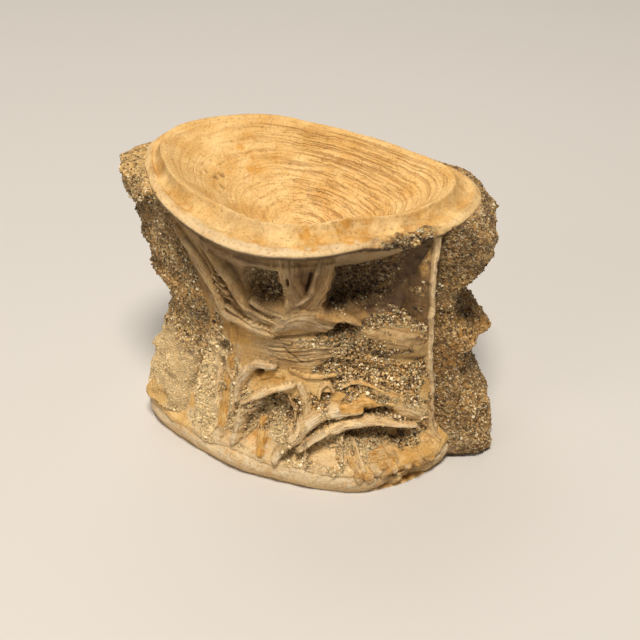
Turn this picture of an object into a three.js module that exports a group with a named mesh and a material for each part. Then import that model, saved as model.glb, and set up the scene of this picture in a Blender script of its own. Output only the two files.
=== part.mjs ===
// A fossil vertebra: one bone with the sandy rock still stuck to its sides, resting on its lower face.
// The bone is an hourglass-shaped centrum with a wide rim round a hollow face at each end. Between the
// rims the wall is waisted and has deep pits, struts, a thin upright plate and a fan of ridges.
// Units are millimetres and +Z is up. The long axis of the oval faces runs close to X, and -Y is the
// side that the photo shows. Bearings are degrees round the axis of the bone, seen from above:
// 0 is +X, 90 is +Y, 180 is -X and 270 is -Y.
import * as THREE from "three";

// Driving dimensions
const LIP_HEIGHT = 36.6; // mean height of the upper lip
const FACE_TILT = 1.2; // the upper face is this much higher at FACE_TILT_BEARING and lower opposite it
const FACE_TILT_BEARING = 128;
const LIP_TO_CREST = 1.7; // the rim band rises by this from its outer lip to its inner crest
const UPPER_BAND_WIDTH = 4.4; // near side of the upper rim
const UPPER_BAND_NARROWING = 2.5; // the band is this much narrower at FAR_BEARING
const FAR_BEARING = 80;
const FAR_REACH = 110;
const UPPER_HOLLOW_DEPTH = 10.5;
const LOWER_HOLLOW_DEPTH = 9.5;
const LOWER_BAND_WIDTH = 4.2;
const UPPER_HOLLOW_ROUND = 13.5; // each hollow gets rounder towards this radius as it gets deeper
const LOWER_HOLLOW_ROUND = 14.5;
const HOLLOW_CURVE = 1.35; // 1 is a cone, 2 a bowl
const FOOT_WIDTH = 1.8; // flat ring that the bone stands on
const FOOT_INSET = 1.2; // from the widest part of the lower lip to the flat ring
const LOWER_LIP_TOP = 2.6;
const WALL_FOOT = 3.6; // height where the lower lip turns into the wall
const WALL_TO_LIP = 2.4; // the wall ends this far below the upper lip
const LOWER_UNDERCUT = 1.2; // how far the wall starts inside the lower lip
const UPPER_UNDERCUT = 1.6; // how far the wall ends inside the upper lip
const WAIST_HEIGHT = 19.5;
const WALL_CURVE = 1.7; // power of the wall's curve from the waist to each rim

// The two faces are uneven ovals: the middle of each, and its radius every 30 degrees from bearing 0.
const UPPER_FACE = { x: -1.6, y: 2.6, radii: [22.4, 16.9, 14.0, 14.4, 19.4, 23.6, 20.5, 18.1, 17.4, 16.1, 15.4, 19.8] };
const LOWER_FACE = { x: -2.6, y: 1.6, radii: [20.5, 18.0, 16.4, 16.6, 18.6, 22.4, 22.5, 18.1, 16.6, 17.4, 21.1, 23.3] };
const WAIST_RADII = [15.0, 13.2, 11.8, 11.8, 13.4, 15.6, 15.6, 14.2, 13.0, 12.4, 13.0, 15.0];

// Pits sunk into the wall: bearing and height of the middle, half width, half height, depth, and the
// power of the outline, which is round at 2 and squarer above.
const PITS = [
  { bearing: 248, z: 29.3, wide: 2.9, high: 3.1, depth: 3.6, power: 2.4 },
  { bearing: 307, z: 29.4, wide: 5.5, high: 5.3, depth: 4.6, power: 3.6 },
  { bearing: 271, z: 29.3, wide: 2.0, high: 4.0, depth: 1.2, power: 2.6 },
  { bearing: 231, z: 30.0, wide: 1.7, high: 3.4, depth: 1.1, power: 2.4 },
  { bearing: 294, z: 22.5, wide: 2.0, high: 1.1, depth: 1.6, power: 2.4 },
  { bearing: 256, z: 9.8, wide: 3.2, high: 2.7, depth: 1.5, power: 2.2 },
  { bearing: 284, z: 5.5, wide: 3.2, high: 1.7, depth: 1.2, power: 2.4 },
  { bearing: 305, z: 7.6, wide: 3.6, high: 1.7, depth: 1.8, power: 2.6 },
  { bearing: 314, z: 6.6, wide: 1.4, high: 1.4, depth: 2.4, power: 2.0 },
  { bearing: 222, z: 17.3, wide: 1.4, high: 1.4, depth: 1.3, power: 2.2 },
  { bearing: 241, z: 6.8, wide: 1.4, high: 2.0, depth: 1.1, power: 2.2 },
  { bearing: 78, z: 28.0, wide: 3.0, high: 4.4, depth: 3.4, power: 3.0 },
  { bearing: 108, z: 28.4, wide: 3.4, high: 4.6, depth: 3.6, power: 3.0 },
  { bearing: 94, z: 10.5, wide: 7.0, high: 5.4, depth: 1.3, power: 3.0 },
];

// Struts: stations of bearing and height, half width, and how far their backs stand out of the wall.
const STRUTS = [
  { path: [[198, 33.2], [210, 30.4], [217, 27.3], [223, 24.1]], wide: 1.2, level: 0.9 },
  { path: [[222, 32.8], [228, 29.9], [233, 27.5], [238, 25.6]], wide: 1.1, level: 0.7 },
  { path: [[220, 23.6], [232, 23.1], [243, 22.5], [253, 21.7]], wide: 1.2, level: 0.9 },
  { path: [[260, 34.8], [263, 29.6], [266, 25.8]], wide: 1.5, level: 0.4 },
  { path: [[283, 34.2], [279, 29.1], [277, 25.8]], wide: 1.5, level: 0.5 },
  { path: [[254, 22.6], [262, 24.4], [272, 24.8], [285, 23.4]], wide: 1.9, level: 0.9 },
  { path: [[277, 25.4], [286, 24.3], [293, 24.3], [301, 23.2]], wide: 1.1, level: 1.2 },
  { path: [[304, 20.8], [316, 20.3], [328, 19.2]], wide: 1.8, level: 0.5 },
  { path: [[253, 17.0], [243, 16.8], [237, 15.2], [234, 13.3], [233, 11.0]], wide: 1.1, level: 1.0 },
  { path: [[264, 14.6], [254, 13.7], [245, 12.3], [237, 10.9]], wide: 1.1, level: 1.1 },
  { path: [[248, 11.6], [239, 9.8], [236, 8.4], [234, 4.9]], wide: 1.1, level: 0.9 },
  { path: [[268, 14.5], [272, 12.5], [272, 10.3]], wide: 1.1, level: 0.6 },
  { path: [[298, 11.0], [286, 11.0], [277, 10.2], [269, 8.4], [262, 6.0], [258, 4.4]], wide: 1.3, level: 1.3 },
  { path: [[318, 8.1], [306, 9.1], [293, 9.4], [285, 8.7], [277, 7.6], [268, 5.6]], wide: 1.1, level: 1.1 },
  { path: [[311, 11.5], [300, 11.6], [290, 11.6]], wide: 1.1, level: 0.8 },
  { path: [[309, 13.0], [319, 10.2], [326, 7.4], [328, 4.6]], wide: 1.3, level: 0.9 },
  { path: [[227, 21.5], [226, 17.0], [224, 12.0], [226, 6.5]], wide: 1.1, level: 0.4 },
  { path: [[93, 33.0], [93, 23.0], [93, 5.0]], wide: 1.7, level: 1.5 },
  { path: [[80, 22.6], [93, 21.6], [113, 22.6]], wide: 1.5, level: 1.1 },
  { path: [[84, 17.0], [80, 5.0]], wide: 1.5, level: 1.3 },
  { path: [[105, 17.0], [110, 5.0]], wide: 1.5, level: 1.3 },
];

// The thin plate that stands out of the wall on the right, from rim to rim.
const PLATE = { bearing: 330, halfTurn: 2.6, levels: [3.2, 6.8, 20, 34.4], radii: [21.9, 20.6, 19.3, 19.0] };
// The buttress fills the corner on the left of the plate: how far round it reaches, how far it stays
// inside the plate's edge, its top, and the height over which it slopes off there.
const BUTTRESS = { turn: 30, inset: 0.5, top: 22.6, slope: 1.9 };

const GAP = 0.45; // kept between the bone's wall and the rock
const ROCK_LEAST = 0.9; // thinnest rock

// The rock on each side: the bearings between which it is fullest, how far past its front edge it would
// thin out to nothing, and its radius by height.
const ROCK_LEFT = {
  back: 130,
  full: [156, 172],
  fringe: 2,
  levels: [4.3, 7, 10, 12.6, 15, 16.9, 19.5, 21, 24, 27.5, 30, 32, 34.2, 35.7, 37.3],
  radii: [22.4, 21.9, 21.1, 20.0, 19.3, 18.7, 17.9, 18.5, 20.6, 21.7, 22.3, 22.6, 22.9, 23.4, 23.61],
  corner: { bearing: 164, z: 38.5, turn: 15, drop: 6, out: 3.0 },
};
const ROCK_RIGHT = {
  back: 62,
  full: [12, -21.5],
  fringe: -3.6,
  levels: [0.8, 2.8, 4.0, 5.4, 7.4, 10, 13.4, 15.8, 16.8, 18.3, 21.9, 24, 26.1, 28.7, 31, 32.6, 33.8],
  radii: [27.06, 26.8, 26.0, 25.6, 24.6, 23.4, 22.4, 22.8, 23.9, 22.3, 20.8, 21.1, 21.9, 23.4, 24.9, 24.6, 22.9],
  corner: { bearing: -19, z: 0, turn: 9, drop: 5, out: 0.8 },
};
const ROCK_COLUMNS = 26;
const ROCK_ROWS = 25;
const ROCK_EDGE = 0.7; // the rock thins out to this far below the bone's surface

// The columns of the bone's surface stand closer together on the detailed front.
const FRONT = { from: 195, to: 337, columns: 72 };
const BACK_COLUMNS = 38;
const WALL_ROWS = 33;

const rad = THREE.MathUtils.degToRad;
const mix = THREE.MathUtils.lerp;
const clamp = THREE.MathUtils.clamp;
const smooth = (t) => THREE.MathUtils.smoothstep(t, 0, 1);

// Signed difference of two bearings, in degrees.
function turnBetween(a, b) {
  return THREE.MathUtils.euclideanModulo(a - b + 180, 360) - 180;
}

// A smooth hump, 1 at its centre and 0 beyond its reach.
function hump(distance, reach) {
  const t = Math.min(1, Math.abs(distance) / reach);
  return (1 - t * t) ** 2;
}

// Radius at a bearing, on a smooth closed curve through evenly spaced radii.
function radiusAt(radii, bearing) {
  const n = radii.length;
  const t = THREE.MathUtils.euclideanModulo(bearing, 360) / (360 / n);
  const i = Math.floor(t);
  const f = t - i;
  const [a, b, c, d] = [i - 1, i, i + 1, i + 2].map((k) => radii[THREE.MathUtils.euclideanModulo(k, n)]);
  return b + 0.5 * f * (c - a + f * (2 * a - 5 * b + 4 * c - d + f * (3 * (b - c) + d - a)));
}

// Value at a height, on straight lines through the values at each level.
function valueAt(levels, values, z) {
  const i = clamp(levels.findIndex((level) => level >= z), 1, levels.length - 1);
  return mix(values[i - 1], values[i], clamp((z - levels[i - 1]) / (levels[i] - levels[i - 1]), 0, 1));
}

const upperRadius = (bearing) => radiusAt(UPPER_FACE.radii, bearing);
const lowerRadius = (bearing) => radiusAt(LOWER_FACE.radii, bearing);

function lipHeight(bearing) {
  return LIP_HEIGHT + FACE_TILT * Math.cos(rad(bearing - FACE_TILT_BEARING));
}

// The axis of the bone leans from the middle of the lower face to the middle of the upper one.
function axisAt(z) {
  const t = z / LIP_HEIGHT;
  return [mix(LOWER_FACE.x, UPPER_FACE.x, t), mix(LOWER_FACE.y, UPPER_FACE.y, t)];
}

function point(bearing, r, z) {
  const [x, y] = axisAt(z);
  return new THREE.Vector3(x + r * Math.cos(rad(bearing)), y + r * Math.sin(rad(bearing)), z);
}

// Radius of the wall's envelope, before pits and struts: an hourglass between the two rims.
function envelope(bearing, z) {
  const top = lipHeight(bearing) - WALL_TO_LIP;
  const waist = radiusAt(WAIST_RADII, bearing);
  const below = z < WAIST_HEIGHT;
  const edge = below ? lowerRadius(bearing) - LOWER_UNDERCUT : upperRadius(bearing) - UPPER_UNDERCUT;
  const reach = below ? (WAIST_HEIGHT - z) / (WAIST_HEIGHT - WALL_FOOT) : (z - WAIST_HEIGHT) / (top - WAIST_HEIGHT);
  return mix(waist, edge, Math.min(1, reach) ** WALL_CURVE);
}

// Distance on the wall, in millimetres, from a bearing and height to a line between two stations.
function distanceToLine(bearing, z, [b0, z0], [b1, z1], r) {
  const px = rad(turnBetween(bearing, b0)) * r;
  const dx = rad(turnBetween(b1, b0)) * r;
  const dz = z1 - z0;
  const t = clamp((px * dx + (z - z0) * dz) / (dx * dx + dz * dz), 0, 1);
  return Math.hypot(px - t * dx, z - z0 - t * dz);
}

// How far the buttress stands out of the wall.
function buttress(bearing, z, r) {
  const turn = turnBetween(PLATE.bearing, bearing);
  if (turn < 0) return 0;
  const full = Math.max(0, valueAt(PLATE.levels, PLATE.radii, z) - BUTTRESS.inset - r);
  return full * hump(turn, BUTTRESS.turn) * smooth((BUTTRESS.top - z) / BUTTRESS.slope);
}

// How far the wall is sunk by the deepest pit and raised by the buttress and the struts.
function relief(bearing, z, r) {
  let sunk = 0;
  for (const { bearing: middle, z: level, wide, high, depth, power } of PITS) {
    const across = Math.abs(rad(turnBetween(bearing, middle)) * r) / wide;
    const q = (across ** power + (Math.abs(z - level) / high) ** power) ** (1 / power);
    sunk = Math.max(sunk, depth * smooth((1.25 - q) / 0.5));
  }
  const base = buttress(bearing, z, r);
  let offset = base - sunk;
  for (const { path, wide, level } of STRUTS) {
    const away = path.slice(1).map((end, i) => distanceToLine(bearing, z, path[i], end, r));
    const t = Math.min(1, Math.min(...away) / wide);
    offset += Math.max(0, base + level - offset) * (1 - t * t) ** 0.8;
  }
  return offset;
}

function wallRadius(bearing, z) {
  const r = envelope(bearing, z);
  const free = Math.min(1, (z - WALL_FOOT) / 1.5, (lipHeight(bearing) - WALL_TO_LIP - z) / 1.5);
  const wall = r + relief(bearing, z, r) * Math.max(0, free);
  if (Math.abs(turnBetween(bearing, PLATE.bearing)) > PLATE.halfTurn) return wall;
  return Math.max(wall, valueAt(PLATE.levels, PLATE.radii, z));
}

// One closed profile of the bone at a bearing, from the lower hollow round to the upper one.
function boneProfile(bearing) {
  const low = lowerRadius(bearing);
  const up = upperRadius(bearing);
  const lip = lipHeight(bearing);
  const crest = lip + LIP_TO_CREST;
  const profile = [];
  const lowEdge = low - LOWER_BAND_WIDTH;
  for (const k of [0.2, 0.45, 0.7, 0.88])
    profile.push([mix(LOWER_HOLLOW_ROUND, lowEdge, k) * k, LOWER_HOLLOW_DEPTH * (1 - k ** HOLLOW_CURVE)]);
  profile.push([lowEdge, 0.5], [low - FOOT_INSET - FOOT_WIDTH, 0], [low - FOOT_INSET, 0]);
  profile.push([low - 0.1, 1.3], [low - 0.2, LOWER_LIP_TOP]);
  const top = lip - WALL_TO_LIP;
  for (let j = 0; j <= WALL_ROWS; j++) {
    const z = mix(WALL_FOOT, top, j / WALL_ROWS);
    profile.push([wallRadius(bearing, z), z]);
  }
  profile.push([up - 0.6, lip - 1.2], [up, lip - 0.2], [up - 0.5, lip + 0.5]);
  const narrowing = UPPER_BAND_NARROWING * hump(turnBetween(bearing, FAR_BEARING), FAR_REACH);
  const upEdge = up - UPPER_BAND_WIDTH + narrowing;
  profile.push([mix(up, upEdge, 0.55), lip + 0.9], [upEdge + 0.4, crest], [upEdge - 0.6, crest - 0.1]);
  for (const k of [0.85, 0.68, 0.5, 0.33, 0.16])
    profile.push([mix(UPPER_HOLLOW_ROUND, upEdge, k) * k, crest - UPPER_HOLLOW_DEPTH * (1 - k ** HOLLOW_CURVE)]);
  return profile;
}

function meshGeometry(points, index) {
  const geometry = new THREE.BufferGeometry().setFromPoints(points);
  geometry.setIndex(index);
  geometry.computeVertexNormals();
  return geometry;
}

// Two triangles between four corners given in order round the face.
function quad(index, a, b, c, d) {
  index.push(a, b, c, a, c, d);
}

// Joins rings of points into a closed surface, with a pole at each end.
function closedSurface(rows, startPole, endPole) {
  const columns = rows[0].length;
  const index = [];
  const at = (row, column) => 1 + row * columns + (column % columns);
  const last = 1 + rows.length * columns;
  for (let c = 0; c < columns; c++) {
    index.push(0, at(0, c + 1), at(0, c));
    index.push(last, at(rows.length - 1, c), at(rows.length - 1, c + 1));
    for (let r = 0; r + 1 < rows.length; r++) quad(index, at(r, c), at(r, c + 1), at(r + 1, c + 1), at(r + 1, c));
  }
  return meshGeometry([startPole, ...rows.flat(), endPole], index);
}

function boneGeometry() {
  const front = Array.from({ length: FRONT.columns }, (_, i) => mix(FRONT.from, FRONT.to, i / FRONT.columns));
  const back = Array.from({ length: BACK_COLUMNS }, (_, i) => mix(FRONT.to, FRONT.from + 360, i / BACK_COLUMNS));
  const bearings = [...front, ...back];
  const profiles = bearings.map(boneProfile);
  const rows = profiles[0].map((_, j) => profiles.map((profile, i) => point(bearings[i], ...profile[j])));
  const lowest = LIP_HEIGHT + LIP_TO_CREST - UPPER_HOLLOW_DEPTH;
  return closedSurface(rows, point(0, 0, LOWER_HOLLOW_DEPTH), point(0, 0, lowest));
}

// Radius of the rock's hidden inner face, which follows the bone's wall and both lips with the gap.
function rockInside(bearing, z) {
  const low = lowerRadius(bearing) + 0.35;
  const up = upperRadius(bearing);
  const lip = lipHeight(bearing);
  const foot = WALL_FOOT + 0.3;
  const top = lip - WALL_TO_LIP - 0.3;
  if (z < foot) return mix(low, envelope(bearing, foot) + GAP, clamp(z - LOWER_LIP_TOP - 0.3, 0, 1));
  if (z < top) return envelope(bearing, z) + GAP;
  return mix(envelope(bearing, top) + GAP, up + GAP, clamp((z - top) / 2.1, 0, 1));
}

// Bearing of the rock's front edge on the left, which the bone's leftmost strut and fan leave free.
const leftFront = (z) => valueAt([3, 11, 17, 21, 24, 28, 31, 34, 37], [203, 207, 211, 212, 208, 200, 193, 190, 196], z);
// Bearing of the rock's front edge on the right, behind the upright plate.
const rightFront = () => PLATE.bearing + 4.6 - 360;

// Large lumps of the rock's surface.
function lumps(bearing, z) {
  const slow = 0.3 * Math.sin(0.31 * bearing + 0.9 * z) * Math.sin(0.17 * bearing - 0.7 * z + 1);
  return slow + 0.25 * Math.sin(0.53 * bearing - 1.3 * z + 2) * Math.sin(0.11 * bearing + 0.5 * z);
}

// A rough closed shell of rock between two bearings, between the bone's wall and the rock's outline.
// Its columns stand closer together towards the front edge.
function rockGeometry(rock, front) {
  const { back, full, fringe, levels, radii, corner } = rock;
  const columns = ROCK_COLUMNS + 1;
  const inner = [];
  const outer = [];
  for (let row = 0; row <= ROCK_ROWS; row++) {
    const z = mix(levels[0], levels.at(-1), row / ROCK_ROWS);
    const end = front(z) + fringe;
    for (let c = 0; c < columns; c++) {
      const bearing = mix(front(z), back, (1 - c / ROCK_COLUMNS) ** 1.4);
      const fromBack = clamp((bearing - back) / (full[0] - back), 0, 1);
      const fromFront = clamp((end - bearing) / (end - full[1]), 0, 1);
      const fullness = smooth(fromBack) * smooth(fromFront ** 0.8);
      const inside = rockInside(bearing, z);
      const sharp = corner.out * hump(bearing - corner.bearing, corner.turn) * hump(z - corner.z, corner.drop);
      const bulk = Math.max(0.6, valueAt(levels, radii, z) - inside + GAP) + ROCK_EDGE + sharp;
      const thick = Math.max(ROCK_LEAST, bulk * fullness - ROCK_EDGE - GAP + lumps(bearing, z));
      inner.push(point(bearing, inside, z));
      outer.push(point(bearing, inside + thick, z));
    }
  }
  return shellGeometry(inner, outer, ROCK_ROWS + 1, columns, front(0) < back);
}

// Joins an inner and an outer grid of points into one closed shell.
function shellGeometry(inner, outer, rows, columns, mirrored) {
  const index = [];
  const a = (r, c) => r * columns + c;
  const b = (r, c) => inner.length + a(r, c);
  const face = (p, q, s, t) => (mirrored ? quad(index, t, s, q, p) : quad(index, p, q, s, t));
  for (let r = 0; r + 1 < rows; r++) {
    for (let c = 0; c + 1 < columns; c++) {
      face(b(r, c), b(r, c + 1), b(r + 1, c + 1), b(r + 1, c));
      face(a(r + 1, c), a(r + 1, c + 1), a(r, c + 1), a(r, c));
    }
    face(b(r, columns - 1), a(r, columns - 1), a(r + 1, columns - 1), b(r + 1, columns - 1));
    face(a(r, 0), b(r, 0), b(r + 1, 0), a(r + 1, 0));
  }
  for (let c = 0; c + 1 < columns; c++) {
    face(a(0, c), a(0, c + 1), b(0, c + 1), b(0, c));
    face(b(rows - 1, c), b(rows - 1, c + 1), a(rows - 1, c + 1), a(rows - 1, c));
  }
  return meshGeometry([...inner, ...outer], index);
}

const bone = new THREE.MeshStandardMaterial({ color: 0xe2c48c, roughness: 0.75, metalness: 0 });
const rockLeft = new THREE.MeshStandardMaterial({ color: 0x8f7850, roughness: 0.95, metalness: 0 });
const rockRight = new THREE.MeshStandardMaterial({ color: 0x9a7c4c, roughness: 0.95, metalness: 0 });

const fossil = new THREE.Group();

function add(name, geometry, material) {
  const mesh = new THREE.Mesh(geometry, material);
  mesh.name = name;
  fossil.add(mesh);
}

add("centrum", boneGeometry(), bone);
add("rock_left", rockGeometry(ROCK_LEFT, leftFront), rockLeft);
add("rock_right", rockGeometry(ROCK_RIGHT, rightFront), rockRight);

// The origin goes to the middle of the outline seen from above, at the level of the flat ring.
const middle = new THREE.Box3().setFromObject(fossil).getCenter(new THREE.Vector3());
for (const mesh of fossil.children) mesh.position.set(-middle.x, -middle.y, 0);

export default fossil;
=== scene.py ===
"""Looks of a fossil vertebra that stands on its lower face, with sandy rock stuck to both flanks.

Shapes are worked out in millimetres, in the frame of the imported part: +Z up, -Y towards the camera.
Bearings are degrees round the bone's axis seen from above: 0 is +X, 90 is +Y and 270 is -Y.
"""

from __future__ import annotations

import logging
import math
from dataclasses import dataclass, field
from enum import Enum

import bpy
import numpy as np
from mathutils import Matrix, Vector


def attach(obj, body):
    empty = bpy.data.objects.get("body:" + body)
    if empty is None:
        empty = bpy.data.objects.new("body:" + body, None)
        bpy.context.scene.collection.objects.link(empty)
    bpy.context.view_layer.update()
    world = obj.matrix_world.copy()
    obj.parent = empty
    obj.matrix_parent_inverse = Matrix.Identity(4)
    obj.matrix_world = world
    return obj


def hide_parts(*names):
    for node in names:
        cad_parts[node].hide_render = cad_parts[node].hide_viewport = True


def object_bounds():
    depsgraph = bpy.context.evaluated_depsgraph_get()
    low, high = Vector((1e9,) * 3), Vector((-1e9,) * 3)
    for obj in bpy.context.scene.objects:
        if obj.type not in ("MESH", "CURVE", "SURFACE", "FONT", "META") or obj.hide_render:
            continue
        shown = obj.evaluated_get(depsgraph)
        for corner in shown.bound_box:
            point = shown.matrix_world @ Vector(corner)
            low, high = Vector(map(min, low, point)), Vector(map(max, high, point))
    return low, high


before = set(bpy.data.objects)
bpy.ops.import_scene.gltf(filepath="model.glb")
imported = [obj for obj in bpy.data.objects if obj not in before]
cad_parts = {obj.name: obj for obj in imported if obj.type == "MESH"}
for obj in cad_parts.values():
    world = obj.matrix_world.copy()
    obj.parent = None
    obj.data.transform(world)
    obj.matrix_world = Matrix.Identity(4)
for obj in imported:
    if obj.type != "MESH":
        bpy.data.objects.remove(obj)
CAD_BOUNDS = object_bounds()

MM = 0.001
log = logging.getLogger("vertebra")
Array = np.ndarray
FRONT = 270.0  # bearing that faces the camera
WAIST_RADIUS = 15.0  # mm; turns bearings into distances round the waist
LEAST_RADIUS = 10.0  # mm; no part of the wall is nearer to the axis
LEAST_WIDTH = 1.0e-6  # mm; keeps a groove's width above zero
FIBRE_HEIGHT = 18.6  # mm; the narrowest part of the waist, where fibres run round the bone
STREAK = 0.20  # mm between the fine streaks that run along rings and fibres
NOISE_ROUGHNESS = 0.55  # how strong each finer scale of a material's noise is beside the one before
SECOND_PLATE_BEARING = 336.5
SECOND_PLATE_INSET = 1.6  # mm


class Slot(Enum):
    """Material slots of the part."""

    BONE = "bone"
    ROCK_LEFT = "rock_left"
    ROCK_RIGHT = "rock_right"


class Tone(Enum):
    """What a patch of surface is covered with, painted shade included; each is a vertex attribute that the
    materials read.
    """

    SAND = "sand"
    WHITE = "white"
    OCHRE = "ochre"
    # Brown: real brown stain in places, and painted shade under the lips, in pits, in holes and on recessed
    # faces.
    BROWN = "brown"
    # Dark: painted shade in pits, cracks, holes and under overhangs, with a little random darkening on the
    # rocks.
    DARK = "dark"


def smooth(t: Array) -> Array:
    """Smooth step from 0 to 1 as t goes from 0 to 1."""
    t = np.clip(t, 0.0, 1.0)
    return t * t * (3.0 - 2.0 * t)


def hump(distance: Array, reach: float) -> Array:
    """Smooth hump that is 1 at distance 0 and 0 beyond its reach."""
    t = np.minimum(1.0, np.abs(distance) / reach)
    return (1.0 - t * t) ** 2


def mix(a: Array, b: Array, t: Array) -> Array:
    """Value between a at t 0 and b at t 1."""
    return a + (b - a) * t


def turn_between(a: Array | float, b: Array | float) -> Array:
    """Signed difference of two bearings in degrees, from -180 to 180."""
    return np.mod(a - b + 180.0, 360.0) - 180.0


def beside(bearing: Array, at: float, reach: float) -> Array:
    """Smooth hump round one bearing, with its reach in degrees."""
    return hump(turn_between(bearing, at), reach)


def xyz(x: Array | float, y: Array | float, z: Array | float) -> Array:
    """(N, 3) places from three coordinates, each an array or one value for all."""
    return np.stack(np.broadcast_arrays(x, y, z), axis=-1)


def ringed(bearing: Array, around: float, depth: Array) -> Array:
    """(N, 3) places for noise that closes round the axis; around says how fast it changes on the way."""
    angle = np.radians(bearing)
    return xyz(around * np.cos(angle), around * np.sin(angle), depth)


def spline(a: Array, b: Array, c: Array, d: Array, f: Array | float) -> Array:
    """Value at share f of the way from b to c, on a smooth curve through a, b, c and d."""
    return b + 0.5 * f * (c - a + f * (2 * a - 5 * b + 4 * c - d + f * (3 * (b - c) + d - a)))


def lattice_noise(points: Array, seed: int) -> Array:
    """Smooth random values between -1 and 1, one for each point.

    Args:
        points: (N, 3) places, measured in cells of the lattice.
        seed: picks one of many different patterns.

    Returns:
        (N,) values.
    """
    cell = np.floor(points).astype(np.int64)
    t = points - cell
    t = t * t * (3.0 - 2.0 * t)
    total = np.zeros(len(points))
    for corner in range(8):
        step = np.array([corner & 1, corner >> 1 & 1, corner >> 2 & 1])
        key = (cell + step) @ np.array([374761393, 668265263, 2147483629]) + seed * 1013904223
        key = (key ^ (key >> 13)) * 1274126177 & 0xFFFFFFFF
        value = ((key ^ (key >> 16)) & 0xFFFF) / 32767.5 - 1.0
        weight = np.prod(np.where(step == 1, t, 1.0 - t), axis=1)
        total += weight * value
    return total


def fractal(points: Array, size: float, octaves: int, seed: int) -> Array:
    """Lattice noise summed over finer and finer scales.

    Args:
        points: (N, 3) places in mm.
        size: size of the coarsest lumps in mm.
        octaves: how many scales; each is half as large and 0.55 as strong.
        seed: picks the pattern.

    Returns:
        (N,) values, mostly between -1 and 1.
    """
    total = np.zeros(len(points))
    for k in range(octaves):
        total += 0.55**k * lattice_noise(points * (2.0**k / size), seed + k)
    return total


@dataclass(frozen=True)
class Oval:
    """An uneven oval: its middle and its radius at evenly spaced bearings."""

    x: float
    y: float
    radii: tuple[float, ...]

    def radius(self, bearing: Array) -> Array:
        """Radius on a smooth closed curve through the radii.

        Args:
            bearing: bearings in degrees.

        Returns:
            The radius in mm at each bearing.
        """
        t = np.mod(bearing, 360.0) / (360.0 / len(self.radii))
        i = np.floor(t).astype(int)
        return spline(*(np.take(self.radii, i + k, mode="wrap") for k in (-1, 0, 1, 2)), t - i)


@dataclass(frozen=True)
class BoneForm:
    """Sizes of the bone in mm, the same as the CAD part's, and the hourglass surface they make."""

    upper: Oval = Oval(-1.6, 2.6, (22.4, 16.9, 14.0, 14.4, 19.4, 23.6, 20.5, 18.1, 17.4, 16.1, 15.4, 19.8))
    lower: Oval = Oval(-2.6, 1.6, (20.5, 18.0, 16.4, 16.6, 18.6, 22.4, 22.5, 18.1, 16.6, 17.4, 21.1, 23.3))
    waist: Oval = Oval(0, 0, (15.0, 13.2, 11.8, 11.8, 13.4, 15.6, 15.6, 14.2, 13.0, 12.4, 13.0, 15.0))
    shift: tuple[float, float] = (1.238, -1.444)
    lip_height: float = 36.6
    tilt: float = 1.2
    tilt_bearing: float = 128.0
    lip_to_crest: float = 1.7
    waist_height: float = 19.5
    wall_foot: float = 3.6
    wall_to_lip: float = 2.4
    lower_undercut: float = 1.2
    upper_undercut: float = 1.6
    curve: float = 1.7

    def lip(self, bearing: Array) -> Array:
        """Height of the upper lip."""
        return self.lip_height + self.tilt * np.cos(np.radians(bearing - self.tilt_bearing))

    def envelope(self, bearing: Array, z: Array) -> Array:
        """Radius of the smooth wall, before anything is sunk or raised.

        Args:
            bearing: bearings of the places.
            z: their heights in mm.

        Returns:
            The radius in mm at each place.
        """
        top = self.lip(bearing) - self.wall_to_lip
        below = z < self.waist_height
        low = self.lower.radius(bearing) - self.lower_undercut
        high = self.upper.radius(bearing) - self.upper_undercut
        edge = np.where(below, low, high)
        down = (self.waist_height - z) / (self.waist_height - self.wall_foot)
        up = (z - self.waist_height) / (top - self.waist_height)
        reach = np.clip(np.where(below, down, up), 0.0, 1.0)
        return mix(self.waist.radius(bearing), edge, reach**self.curve)

    def place(self, bearing: Array, r: Array, z: Array) -> Array:
        """Points round the leaning axis.

        Args:
            bearing: bearings in degrees.
            r: distances from the axis in mm.
            z: heights in mm.

        Returns:
            (N, 3) places in mm.
        """
        t = z / self.lip_height
        x = mix(self.lower.x, self.upper.x, t) + self.shift[0] + r * np.cos(np.radians(bearing))
        y = mix(self.lower.y, self.upper.y, t) + self.shift[1] + r * np.sin(np.radians(bearing))
        return np.stack([x, y, z], axis=-1)


@dataclass(frozen=True)
class Pit:
    """A pit in the wall: middle, half sizes and depth in mm, and how its edge and floor look; its dark share
    is painted shade.
    """

    bearing: float
    z: float
    wide: float
    high: float
    depth: float
    sand: float = 1.0
    dark: float = 0.0
    power: float = 3.0
    soft: float = 0.5
    ragged: float = 0.3

    def step(self, bearing: Array, z: Array, r: Array, warp: Array) -> Array:
        """How far down into the pit places lie.

        Args:
            bearing: bearings of the places.
            z: their heights in mm.
            r: radius of the wall there.
            warp: noise that makes the edge ragged.

        Returns:
            0 outside the pit and 1 on its floor.
        """
        across = np.abs(np.radians(turn_between(bearing, self.bearing)) * r) / self.wide
        up = np.abs(z - self.z) / self.high
        q = (across**self.power + up**self.power) ** (1.0 / self.power)
        q = q + warp * self.ragged / min(self.wide, self.high)
        return smooth((1.0 + self.soft / 2 - q) / self.soft)


@dataclass(frozen=True)
class Strut:
    """A bony strut: stations of bearing and height, half width, and how far its back stands out."""

    path: tuple[tuple[float, float], ...]
    wide: float
    level: float
    white: float = 0.6
    ochre: float = 0.0
    crumbly: float = 0.0
    end: float = 0.6
    streaks: float = 0.07


@dataclass(frozen=True)
class Groove:
    """A slit or crack: stations of bearing and height, half width, depth, and how much shade is painted in
    it.
    """

    path: tuple[tuple[float, float], ...]
    wide: float
    depth: float
    dark: float
    ochre: float = 0.0
    end: float = 0.6


@dataclass(frozen=True)
class Patch:
    """A patch of one tone on the wall, with a ragged edge."""

    tone: Tone
    bearing: float
    z: float
    wide: float
    high: float
    strength: float = 1.0
    rise: float = 0.0
    ragged: float = 0.3


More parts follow.
